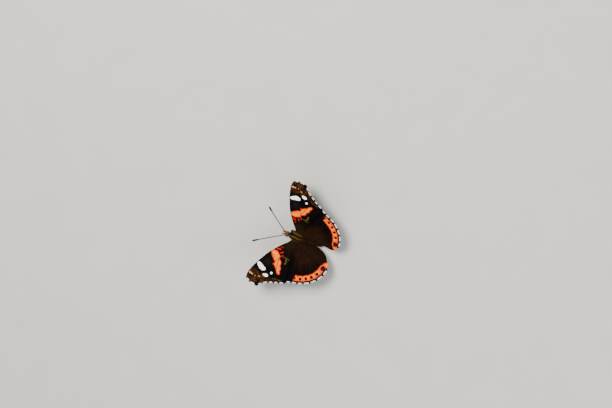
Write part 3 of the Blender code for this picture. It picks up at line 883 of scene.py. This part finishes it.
fringeSet = {
    "seeds": {"forewing": 11, "hindwing": 12},
    "spacing": 0.018,
    "length": 0.58,
    "width": 0.058,
    "sunk": 0.22,                 # how far in from the margin the roots lie
    "darkReach": 0.58,            # of the dark scales at the end of each vein
    "tipReach": 1.45,             # and at the forewing's hooked tip
}


def wingFrame(spots, away, level):
    # Roots on the wing, the way along its surface and the way up from it
    roots = onWing(spots, level)
    return roots, onWing(spots + away, level) - roots, onWing(spots, level + 1.0) - roots


def makeFringe(kind, material):
    plan = wingPlans[kind]
    rng = np.random.default_rng(fringeSet["seeds"][kind])
    lines, _, outer, _ = planLines(plan)
    ends = [lines[key][-1] for key in plan["margin"]]
    length = lengthAlong(outer)
    count = int(length[-1] / fringeSet["spacing"])
    where = np.sort(rng.uniform(0.02, length[-1] - 0.02, count))
    spots, ahead, behind = (
        np.stack([np.interp(where + shift, length, outer[:, axis]) for axis in (0, 1)], axis=1)
        for shift in (0.0, 0.5, -0.5))
    along = unit(ahead - behind)
    outward = np.stack([-along[:, 1], along[:, 0]], axis=1)
    reaches = [fringeSet["tipReach" if kind == "forewing" and key == "media1" else "darkReach"]
               for key in plan["margin"]]
    endGap = np.min([np.linalg.norm(spots - end, axis=1) - reach
                     for end, reach in zip(ends, reaches)], axis=0)
    white = ramp(endGap + rng.normal(0, 0.08, count), -0.10, 0.12)
    lean = outward + along * rng.normal(0, 0.14, count)[:, None]
    sizes = fringeSet["length"] * (0.78 + 0.32 * ramp(endGap, -0.5, 0.7)) * rng.uniform(0.8, 1.12, count)
    inner = spots - outward * fringeSet["sunk"]
    level = wingLevel(plan, inner, planFields(plan, inner)) + rng.uniform(-0.03, 0.05, count)
    roots, ways, above = wingFrame(inner, lean, level)
    tufts = {"roots": roots, "ways": ways, "normals": above, "lengths": sizes + fringeSet["sunk"],
             "widths": np.full(count, fringeSet["width"]), "bends": rng.uniform(-0.05, 0.12, count),
             "bakeSpots": planUnwrap(plan, inner, False), "segments": 2}
    values = {"tone": rng.uniform(0, 0.15, count), "white": white}
    makeHair(kind + "Fringe{}", tufts, values, material, "wing")


wingHair = {
    "forewing": {"seed": 21, "count": 2200, "reach": 5.5, "length": 1.1, "width": 0.045, "rust": 0.15},
    "hindwing": {"seed": 22, "count": 6500, "reach": 9.0, "length": 1.5, "width": 0.045, "rust": 0.75},
}


def makeWingHair(kind, material):
    # Long hair that lies on the wing's base and, behind, beside the abdomen
    plan, hair = wingPlans[kind], wingHair[kind]
    rng = np.random.default_rng(hair["seed"])
    ring = planRing(plan)
    low, high = ring.min(axis=0), ring.max(axis=0)
    spots = rng.uniform((low[0], low[1]), (min(high[0], hair["reach"]), high[1]), (hair["count"] * 6, 2))
    inside = depthIn(spots, ring) > 0.15
    if kind == "forewing":
        thick = ramp(np.linalg.norm(spots - (0.0, -1.0), axis=1), hair["reach"], 1.0)
    else:
        thick = ramp(spots[:, 0] - 0.10 * (spots[:, 1] + 20.0), 5.5, 1.0) * ramp(spots[:, 1], -20.5, -15.0)
    keep = inside & (rng.uniform(0, 1, len(spots)) < thick)
    spots = spots[keep][:hair["count"]]
    count = len(spots)
    level = wingLevel(plan, spots, planFields(plan, spots)) + wingBuild["halfThickness"] - 0.03
    roots, ahead, above = wingFrame(spots, unit(spots - (-2.0, 1.5)), level)
    ways = unit(ahead) + unit(above) * rng.uniform(0.08, 0.28, count)[:, None]
    ways = ways + rng.normal(0, 0.10, (count, 3))
    tufts = {"roots": roots, "ways": ways, "normals": above,
             "lengths": hair["length"] * rng.uniform(0.6, 1.2, count),
             "widths": np.full(count, hair["width"]), "bends": rng.uniform(0.05, 0.2, count),
             "bakeSpots": planUnwrap(plan, spots, True)}
    values = {"tone": 0.16 + rng.uniform(-0.16, 0.2, count),
              "rust": np.clip(hair["rust"] + rng.uniform(-0.3, 0.3, count), 0, 1)}
    makeHair(kind + "Hair{}", tufts, values, material, "wing")


# Body: one skin for head, thorax and abdomen, then its coat

bodySet = {
    "inset": 0.22,                # the skin lies inside the solids by the coat's depth
    "voxel": 0.13,
    "merge": 0.02,
    "smoothings": 5,
    "thorax": {"middle": -0.35, "halfLength": 3.75, "halfWidth": 2.5, "level": -0.9, "top": 2.3,
               "bottom": 2.5, "bluntness": 2.4},
    "head": {"middle": 4.55, "halfLength": 1.15, "neck": 1.9, "halfWidth": 0.91, "neckHalfWidth": 1.11,
             "level": 0.45, "halfHeight": 1.15},
    "abdomen": {"front": -2.6, "length": 13.2, "halfWidth": 2.0, "level": -1.1, "droop": 0.9, "segments": 7,
                "inset": 0.10},
}


def ovoidPoints(segments, rings):
    points = []
    for ring in range(rings + 1):
        tilt = math.pi * ring / rings
        for segment in range(segments):
            turn = math.tau * segment / segments
            points.append((math.sin(tilt) * math.cos(turn), math.sin(tilt) * math.sin(turn), math.cos(tilt)))
    return np.array(points), ringFaces(rings + 1, segments)


def thoraxForm(ball):
    size, inset = bodySet["thorax"], bodySet["inset"]
    x, y, z = ball.T
    angle = np.arctan2(y, x)
    girth = np.maximum(0, 1 - np.abs(z) ** size["bluntness"]) ** 0.5
    height = np.where(y > 0, size["top"], size["bottom"]) - inset
    return onBody(size["middle"] + (size["halfLength"] - inset) * z,
                  (size["halfWidth"] - inset) * girth * np.cos(angle),
                  size["level"] + height * girth * np.sin(angle))


def headForm(ball):
    size, inset = bodySet["head"], bodySet["inset"]
    x, y, z = ball.T
    length = np.where(z > 0, size["halfLength"] - inset, size["neck"])
    width = np.where(z > 0, size["halfWidth"], size["neckHalfWidth"])
    height = size["halfHeight"] - inset * 0.5
    return onBody(size["middle"] + length * z, width * x, size["level"] + height * y)


def creases(t, width):
    # 1 at the lines between the abdomen's rings, falling away on both sides
    place = t * bodySet["abdomen"]["segments"]
    return np.exp(-((place - np.round(place)) / width) ** 2)


def abdomenGirth(t):
    girth = np.sin(np.pi * np.clip(0.09 + 0.91 * t, 0, 1) ** 0.72) ** 0.62
    return girth * (1 - 0.05 * creases(t, 0.12))


def abdomenForm(ball):
    size = bodySet["abdomen"]
    x, y, z = ball.T
    t = (1 - z) / 2
    across = np.maximum(np.hypot(x, y), 1e-9)
    girth = np.maximum(abdomenGirth(t) * size["halfWidth"] - size["inset"], 0.02)
    return onBody(size["front"] - t * size["length"], girth * x / across,
                  size["level"] + girth * y / across - size["droop"] * t ** 2)


def bodySkin(material):
    forms = ((thoraxForm, 64, 48), (headForm, 48, 36), (abdomenForm, 48, 160))
    points, faces = [], []
    for form, segments, rings in forms:
        ball, ballFaces = ovoidPoints(segments, rings)
        start = sum(len(part) for part in points)
        points.append(form(ball))
        faces.extend(tuple(index + start for index in face) for face in turnFaces(ballFaces))
    rough = makePiece("bodyForm", np.vstack(points), faces, material)
    merge = rough.modifiers.new("merge", "WELD")
    merge.merge_threshold = bodySet["merge"] * mm
    remesh = rough.modifiers.new("skin", "REMESH")
    remesh.mode = "VOXEL"
    remesh.voxel_size = bodySet["voxel"] * mm
    smooth = rough.modifiers.new("smooth", "SMOOTH")
    smooth.iterations = bodySet["smoothings"]
    graph = bpy.context.evaluated_depsgraph_get()
    mesh = bpy.data.meshes.new_from_object(rough.evaluated_get(graph))
    bpy.data.objects.remove(rough)
    points = meshPoints(mesh) / mm
    faces = [tuple(polygon.vertices) for polygon in mesh.polygons]
    forward, side, up = intoBody(points)
    bakeMap = bodyUnwrap(forward, side, up)
    piece = makePiece("bodySkin", points, faces, material, {"bodyForward": forward}, bakeMap)
    return placePiece(piece, "body_hair", "head", "thorax", "abdomen")


def bodyUnwrap(forward, side, up):
    # Slit along the belly and rolled out flat
    centre = np.interp(forward, (-15.0, -4.0, 0.0, 4.5), (-1.6, -1.1, -1.0, 0.4))
    around = np.arctan2(side, up - centre) / math.tau + 0.5
    return bakeSpread(around, np.clip((forward + 16.0) / 23.0, 0, 1))


def skinMaterial():
    abdomen = bodySet["abdomen"]
    shader = Shader("bodySkin", hairColours, Roughness=0.7, Specular_IOR_Level=0.03)
    forward, spot = shader.value("bodyForward"), shader.place()
    mottle = shader.noise(spot, 1.4, 4.0)
    fine = shader.noise(spot, 9.0, 3.0)
    patches = mottle.between(0.35, 0.65)
    place = (forward - abdomen["front"]) * (math.tau * abdomen["segments"] / abdomen["length"])
    rings = place.maths("COSINE").between(0.80, 0.98) * forward.between(-4.0, -5.0)
    colour = shader.layered(
        shader.layered("dark", (patches, "olive")),
        (forward.between(-3.0, -5.0), shader.layered("dark", (patches, "rust"))),
        (rings * 0.16, "tan"),
        (0.25, pureBlack))
    return shader.finish(Base_Color=colour, Roughness=0.6 + fine * 0.25,
                         Normal=shader.bump(fine + mottle, 0.5, 0.00006))


coatSets = {
    "thoraxUndercoat": {"count": 9500, "from": -4.6, "to": 3.7, "length": 0.75, "width": 0.05, "lift": 0.30},
    "thoraxCoat": {"count": 10500, "from": -4.6, "to": 3.5, "length": 1.35, "width": 0.036, "lift": 0.36},
    "headCoat": {"count": 5600, "from": 3.0, "to": 6.2, "length": 0.66, "width": 0.034, "lift": 0.42},
    "abdomenCoat": {"count": 12200, "from": -16.5, "to": -3.4, "length": 0.78, "width": 0.051, "lift": 0.20},
}
coatStripes = {"period": 1.65, "tone": 0.44, "contrast": 0.40, "spread": 0.09, "belly": 0.16, "rump": -0.34}


def sampleSkin(mesh, count, rng, low, high):
    # Points spread evenly over the skin between two stations along the body
    mesh.calc_loop_triangles()
    corners = np.array([tuple(tri.vertices) for tri in mesh.loop_triangles])
    points = meshPoints(mesh).astype(float) / mm
    a, b, c = (points[corners[:, index]] for index in range(3))
    cross = np.cross(b - a, c - a)
    area = np.linalg.norm(cross, axis=1)
    forward, _, _ = intoBody((a + b + c) / 3)
    area = area * (forward > low) * (forward < high)
    picked = rng.choice(len(area), count, p=area / area.sum())
    r1, r2 = np.sqrt(rng.uniform(0, 1, count)), rng.uniform(0, 1, count)
    spots = (a[picked] * (1 - r1)[:, None] + b[picked] * (r1 * (1 - r2))[:, None]
             + c[picked] * (r1 * r2)[:, None])
    return spots, unit(cross[picked])


def coatTone(forward, side, up, rng, count):
    # Lengthwise stripes on the back, darker between the wings, paler below
    above = ramp(up, -1.8, -0.4)
    stripe = np.cos(side * math.tau / coatStripes["period"] + 0.25 * np.sin(forward * 1.3))
    stripe = stripe * ramp(forward, -4.6, -2.6)
    tone = coatStripes["tone"] + coatStripes["contrast"] * stripe * above
    tone = tone + rng.normal(0, coatStripes["spread"], count)
    tone = tone + coatStripes["belly"] * (1 - above) * ramp(forward, -5.0, -3.0)
    tone = tone + coatStripes["rump"] * above * ramp(forward, -2.2, -4.6)
    return np.clip(tone, 0, 1)


def makeCoat(name, skin, material):
    coat, abdomen = coatSets[name], bodySet["abdomen"]
    rng = np.random.default_rng(31 + len(name))
    spots, normals = sampleSkin(skin.data, coat["count"], rng, coat["from"], coat["to"])
    forward, side, up = intoBody(spots)
    count = len(spots)
    lie = onBody(-1.0, 0.0, 0.0) - onBody(0.0, 0.0, 0.0)
    if name == "headCoat":
        lie = onBody(0.0, 0.0, 1.0) - onBody(0.0, 0.0, 0.0) - 0.7 * lie
    lie = lie + 0.25 * np.stack([np.clip(side, -1, 1), 0 * side, 0 * side], axis=1)
    lie = lie + rng.normal(0, 0.16, (count, 3))
    lie = unit(lie - normals * np.sum(lie * normals, axis=1)[:, None])
    lift = coat["lift"] * rng.uniform(0.6, 1.5, count)
    ways = lie * np.cos(lift)[:, None] + normals * np.sin(lift)[:, None]
    lengths = coat["length"] * rng.uniform(0.6, 1.25, count)
    tone = coatTone(forward, side, up, rng, count)
    rust = np.clip(0.95 * ramp(forward, -2.4, -4.4) + rng.normal(0, 0.10, count), 0, 1)
    fox = rng.uniform(0.1, 0.5, count) * ramp(forward, 1.8, 3.6) * ramp(np.abs(side), 0.7, 1.6)
    if name == "headCoat":
        fox = rng.uniform(0.2, 0.9, count) * ramp(forward, 3.4, 4.6)
    if name == "abdomenCoat":
        # Longer next to the thorax, less rusty at the creases further back
        lengths = lengths * (1 + 1.4 * ramp(forward, -6.5, -4.0))
        rings = creases((abdomen["front"] - forward) / abdomen["length"], 0.10)
        rust = rust * (1 - 0.55 * rings * ramp(forward, -4.5, -6.0))
    tufts = {"roots": spots - normals * 0.06, "ways": ways, "normals": normals, "lengths": lengths,
             "widths": np.full(count, coat["width"]), "bends": rng.uniform(0.05, 0.25, count),
             "bakeSpots": bodyUnwrap(forward, side, up)}
    values = {"tone": tone, "rust": rust, "fox": fox, "white": 0.22 * ramp(up, -2.4, -3.4)}
    makeHair(name, tufts, values, material, "abdomen" if name == "abdomenCoat" else "body_hair")


# Eyes, palps, antennae, tongue and legs

eyeSet = {
    "middle": (4.7, 0.95, 0.4),
    "half": (0.85, 0.72, 0.92),
    "dark": (0.010, 0.0045, 0.0025),
    "pale": (0.050, 0.020, 0.008),
}


def eyeMaterial():
    shader = Shader("eyeFacets", eyeSet, Roughness=0.3, Specular_IOR_Level=0.35, Coat_Weight=0.15)
    spot = shader.place()
    facets = shader.cells(spot, 14.0)
    mottle = shader.noise(spot, 1.3, 3.0)
    colour = shader.layered("dark", (mottle.between(0.35, 0.7), "pale"),
                            (facets.between(0.3, 0.7) * 0.5, pureBlack))
    return shader.finish(Base_Color=colour, Roughness=0.26 + mottle * 0.12,
                         Normal=shader.bump(1 - facets, 0.35, 0.00002))


def makeEyes(material):
    forward, side, up = eyeSet["middle"]
    half = eyeSet["half"]
    ball, faces = ovoidPoints(48, 32)
    points = onBody(forward + half[0] * ball[:, 2], side + half[1] * ball[:, 0], up + half[2] * ball[:, 1])
    makePair("eye{}", "eye", "eye", points, turnFaces(faces), material)


antennaSet = {
    "keys": ((0.35, -4.7, 1.9, 0.24), (0.95, -5.5, 2.95, 0.24), (4.0, -9.6, 4.35, 0.24),
             (7.2, -13.8, 5.75, 0.24), (8.6, -15.6, 6.30, 0.27), (9.3, -16.5, 6.56, 0.39),
             (10.0, -17.35, 6.82, 0.47), (10.6, -18.1, 7.05, 0.43), (10.98, -18.65, 7.22, 0.12)),
    "rings": 38,
    "relief": 0.10,               # of the rings
    "clubStart": 0.80,            # as a share of the length
    "dark": (0.006, 0.004, 0.002),
    "pale": (0.024, 0.016, 0.009),
    "club": (0.005, 0.004, 0.003),
    "tip": (0.32, 0.20, 0.08),
}


def antennaMaterial():
    shader = Shader("antennaScales", antennaSet, Roughness=0.6, Specular_IOR_Level=0.2)
    share = shader.value("share")
    fine = shader.noise(shader.place(), 7.0, 3.0)
    ring = (share * (antennaSet["rings"] * math.tau)).maths("COSINE")
    colour = shader.layered(
        "dark",
        (ring.between(0.4, 0.95), "pale"),
        (share.between(0.78, 0.84), "club"),
        (share.between(0.988, 0.997) * 0.7, "tip"),
        (fine.between(0.3, 0.7) * 0.3, pureBlack))
    return shader.finish(Base_Color=colour, Roughness=0.5 + fine * 0.25,
                         Normal=shader.bump(ring * 0.4 + fine, 0.5, 0.00003))


def limbPair(name, line, radii, sides, material):
    points, faces, share, around = tubeMesh(line, radii, sides)
    makePair(name + "{}", name, "limb", points, faces, material, {"share": share}, bakeSpread(share, around))


def limbRoots(points, rng, count, last, upward):
    # Random places on a limb, up to a last share of its length: the share, the nearest ring,
    # the limb's middle, the ways ahead and out, and the place on the OFBake map
    rings = len(points) - 1
    where = rng.uniform(0.12, last, count) * rings
    index = where.astype(int)
    middle = points[index] + (points[index + 1] - points[index]) * (where - index)[:, None]
    ahead = unit(np.gradient(points, axis=0))[index]
    aside = unit(np.cross(ahead, upward))
    turn = rng.uniform(0, math.tau, count)
    outward = aside * np.cos(turn)[:, None] + np.cross(aside, ahead) * np.sin(turn)[:, None]
    return where / rings, index, middle, ahead, outward, bakeSpread(where / rings, turn / math.tau, 0.9)


def makeAntennae(material):
    line = smoothLine(antennaSet["keys"], 0.11)
    points = fromRoot(*line.T[:3])
    share = np.linspace(0, 1, len(line))
    rings = np.cos(share * antennaSet["rings"] * math.tau) * (share < antennaSet["clubStart"])
    limbPair("antenna", points, line[:, 3] * (1 + antennaSet["relief"] * rings), 14, material)


# Forward, side and up on the body, radius
palpKeys = ((4.6, 0.5, -0.3, 0.26), (5.5, 0.53, -0.1, 0.27), (6.2, 0.53, 0.25, 0.26),
            (6.8, 0.5, 0.62, 0.20), (7.2, 0.46, 0.85, 0.06))
limbHair = {
    "width": 0.028,
    "palpCount": 900,
    "legCount": 1500,
    "legLength": 0.34,
    "brushLength": 0.55,          # on the forelegs
    "floorGap": 0.12,             # bristles start no lower
}


def makePalps(skinOf, hairOf):
    line = smoothLine(palpKeys, 0.12)
    points = onBody(*line.T[:3])
    limbPair("palp", points, line[:, 3], 12, skinOf)
    rng = np.random.default_rng(41)
    count = limbHair["palpCount"]
    _, index, middle, ahead, outward, bakeSpots = limbRoots(points, rng, count, 0.97, (0.0, 0.0, 1.0))
    ways = ahead + outward * rng.uniform(0.25, 0.6, count)[:, None] + rng.normal(0, 0.08, (count, 3))
    below = ramp(-outward[:, 2], 0.0, 0.6)
    tufts = {"roots": middle + outward * (line[index, 3] * 0.7)[:, None], "ways": ways,
             "normals": outward, "lengths": rng.uniform(0.28, 0.5, count),
             "widths": np.full(count, limbHair["width"]), "bends": rng.uniform(0.0, 0.2, count),
             "bakeSpots": bakeSpots}
    values = {"tone": 0.30 + rng.uniform(-0.25, 0.3, count),
              "fox": rng.uniform(0.0, 0.35, count) * (1 - below), "white": 0.25 * below}
    makeHair("palpHair{}", tufts, values, hairOf, "limb")


tongueSet = {"middle": (5.55, -2.0), "inner": 0.38, "pitch": 0.84, "start": -0.32, "turns": 1.05,
             "tip": 0.07, "halfway": 0.13, "radius": 0.16}


def makeTongue(material):
    turns = np.linspace(tongueSet["start"], tongueSet["turns"], 90)
    reach = np.maximum(tongueSet["inner"] + tongueSet["pitch"] * turns, 0.1)
    angle = math.tau * (turns + 0.35)
    forward, up = tongueSet["middle"]
    line = onBody(forward + reach * np.cos(angle), 0.0, up + reach * np.sin(angle))
    radii = np.interp(turns, (tongueSet["start"], 0.3, tongueSet["turns"]),
                      (tongueSet["tip"], tongueSet["halfway"], tongueSet["radius"]))
    points, faces, share, around = tubeMesh(line, radii, 12)
    piece = makePiece("tongue", points, faces, material, {"share": share}, bakeSpread(share, around))
    placePiece(piece, "limb", "proboscis")


# Out from the middle plane, behind the wing roots, above the floor, radius
legKeys = {
    "midleg": (
        (1.1, 0.2, 6.2, 0.42), (1.8, 0.1, 4.6, 0.45), (3.5, -0.6, 4.7, 0.40), (5.3, -1.35, 5.15, 0.33),
        (5.6, -1.4, 5.2, 0.26), (6.0, -1.6, 4.7, 0.24), (7.0, -2.0, 3.2, 0.27), (7.9, -2.4, 1.3, 0.22),
        (8.2, -2.5, 0.8, 0.16), (9.2, -2.8, 0.2, 0.17), (10.2, -3.0, 0.2, 0.16), (11.2, -3.1, 0.2, 0.13)),
    "hindleg": (
        (1.1, 2.3, 6.0, 0.42), (1.9, 2.9, 4.1, 0.45), (3.5, 4.5, 4.4, 0.40), (5.1, 6.3, 4.85, 0.33),
        (5.4, 6.6, 4.9, 0.26), (5.8, 7.1, 4.4, 0.24), (6.7, 8.4, 3.0, 0.27), (7.5, 9.5, 1.3, 0.22),
        (7.8, 9.9, 0.8, 0.16), (8.4, 10.9, 0.2, 0.17), (8.9, 11.9, 0.2, 0.16), (9.3, 12.9, 0.2, 0.13)),
}
# The folded forelegs, on the body as the palps are
forelegKeys = ((1.5, 0.85, -2.3, 0.36), (2.2, 0.9, -3.2, 0.36), (2.3, 0.92, -3.75, 0.32),
               (1.5, 0.95, -4.1, 0.27), (0.7, 0.95, -4.25, 0.25), (0.0, 0.9, -4.35, 0.20))
limbColours = {
    "dark": (0.026, 0.015, 0.009),
    "pale": (0.105, 0.068, 0.036),
    "shade": (0.020, 0.012, 0.008),
    "foot": (0.140, 0.092, 0.048),
}


def limbMaterial():
    shader = Shader("limbScales", limbColours, Roughness=0.6, Specular_IOR_Level=0.25)
    spot = shader.place()
    fine = shader.noise(spot, 8.0, 4.0, 0.65)
    broad = shader.noise(spot, 1.2, 3.0)
    colour = shader.layered(
        "dark",
        (fine.between(0.35, 0.65), "pale"),
        (broad.between(0.4, 0.65) * 0.6, "shade"),
        (shader.value("share").between(0.5, 0.9) * 0.45, "foot"))
    return shader.finish(Base_Color=colour, Roughness=0.5 + fine * 0.25,
                         Normal=shader.bump(fine + shader.cells(spot, 9.0) * 0.5, 0.6, 0.00004))


def makeLegs(skinOf, hairOf):
    for node, keys in legKeys.items():
        line = smoothLine(keys, 0.16)
        points = fromRoot(line[:, 0], line[:, 1], line[:, 2] - stance["rootHeight"])
        points[:, 2] = np.maximum(points[:, 2], line[:, 3] * 0.92)
        share = np.linspace(0, 1, len(line))
        joints = 1 - 0.14 * (share > 0.68) * (np.cos(share * math.tau * 16) > 0.75)
        limbPair(node, points, line[:, 3] * joints, 12, skinOf)
        legHair(node, points, line[:, 3], hairOf)
    line = smoothLine(forelegKeys, 0.16)
    points = onBody(*line.T[:3])
    limbPair("foreleg", points, line[:, 3], 12, skinOf)
    legHair("foreleg", points, line[:, 3] * 1.25, hairOf)


def legHair(node, points, radii, material):
    # Scales and bristles, longer on the brush-like forelegs
    brush = node == "foreleg"
    rng = np.random.default_rng(50 + len(node))
    count = limbHair["legCount"]
    share, index, middle, ahead, outward, bakeSpots = limbRoots(points, rng, count, 0.985, (0.02, 0.01, 1.0))
    ways = ahead + outward * rng.uniform(0.2, 0.5, count)[:, None]
    lengths = limbHair["brushLength" if brush else "legLength"] * rng.uniform(0.5, 1.1, count)
    if not brush:
        lengths = lengths * (1 - 0.55 * ramp(share, 0.5, 0.8))
    roots = middle + outward * (radii[index] * 0.8)[:, None]
    tufts = {"roots": roots, "ways": ways, "normals": outward, "lengths": lengths,
             "widths": np.full(count, limbHair["width"]), "bends": rng.uniform(0.0, 0.2, count),
             "bakeSpots": bakeSpots}
    clear = roots[:, 2] >= limbHair["floorGap"]
    tufts = {key: numbers[clear] for key, numbers in tufts.items()}
    kept = len(tufts["roots"])
    values = {"tone": 0.4 + rng.uniform(-0.25, 0.3, kept), "rust": rng.uniform(0, 0.4, kept)}
    makeHair(node + "Hair{}", {**tufts, "segments": 2}, values, material, "limb")


# Studio

studioSet = {
    "floorReach": 3000.0,
    "floor": (0.36, 0.355, 0.34),
    "floorGrain": (0.32, 0.315, 0.30),
    "world": (0.90, 0.93, 1.0),
    "worldStrength": 0.45,
    "lights": (
        ("keyLight", (-0.35, -0.30, 0.75), 0.32, 22.0, (1.0, 0.96, 0.90)),
        ("fillLight", (0.55, 0.25, 0.50), 0.50, 4.5, (0.93, 0.96, 1.0)),
        ("rimLight", (-0.10, 0.65, 0.35), 0.40, 5.0, (1.0, 0.98, 0.95)),
    ),
}


def makeStudio():
    shader = Shader("floorPaper", studioSet, Roughness=0.85)
    grain = shader.noise(shader.place(), 0.05, 4.0)
    paper = shader.finish(Base_Color=shader.layered("floor", (grain.between(0.3, 0.7) * 0.3, "floorGrain")))
    corners = studioSet["floorReach"] * np.array([(-1, -1, 0), (1, -1, 0), (1, 1, 0), (-1, 1, 0)])
    makePiece("floor", corners, [(0, 1, 2, 3)], paper)
    world = bpy.data.worlds.new("studio")
    world.use_nodes = True
    sky = world.node_tree.nodes["Background"]
    sky.inputs["Color"].default_value = (*studioSet["world"], 1.0)
    sky.inputs["Strength"].default_value = studioSet["worldStrength"]
    bpy.context.scene.world = world
    for name, place, size, power, colour in studioSet["lights"]:
        data = bpy.data.lights.new(name, "AREA")
        data.size = size
        data.energy = power
        data.color = colour
        light = bpy.data.objects.new(name, data)
        light.location = place
        light.rotation_euler = (-Vector(place)).to_track_quat("-Z", "Y").to_euler()
        bpy.context.scene.collection.objects.link(light)
    print("studio lit")


makeCamera()
makeStudio()
forewingLook = forewingMaterial()
hindwingLook = hindwingMaterial()
makeWing("forewing", forewingLook)
makeWing("hindwing", hindwingLook)
print("wings made")
fringeLook = hairMaterial("fringeHair")
coatLook = hairMaterial("coatHair")
for kind in ("forewing", "hindwing"):
    makeFringe(kind, fringeLook)
    makeWingHair(kind, coatLook)
print("fringes and wing hair made")
skin = bodySkin(skinMaterial())
for name in coatSets:
    makeCoat(name, skin, coatLook)
print("body and coat made")
limbLook = limbMaterial()
makeEyes(eyeMaterial())
makeAntennae(antennaMaterial())
makePalps(limbLook, coatLook)
makeTongue(limbLook)
makeLegs(limbLook, coatLook)
print("head parts and legs made")
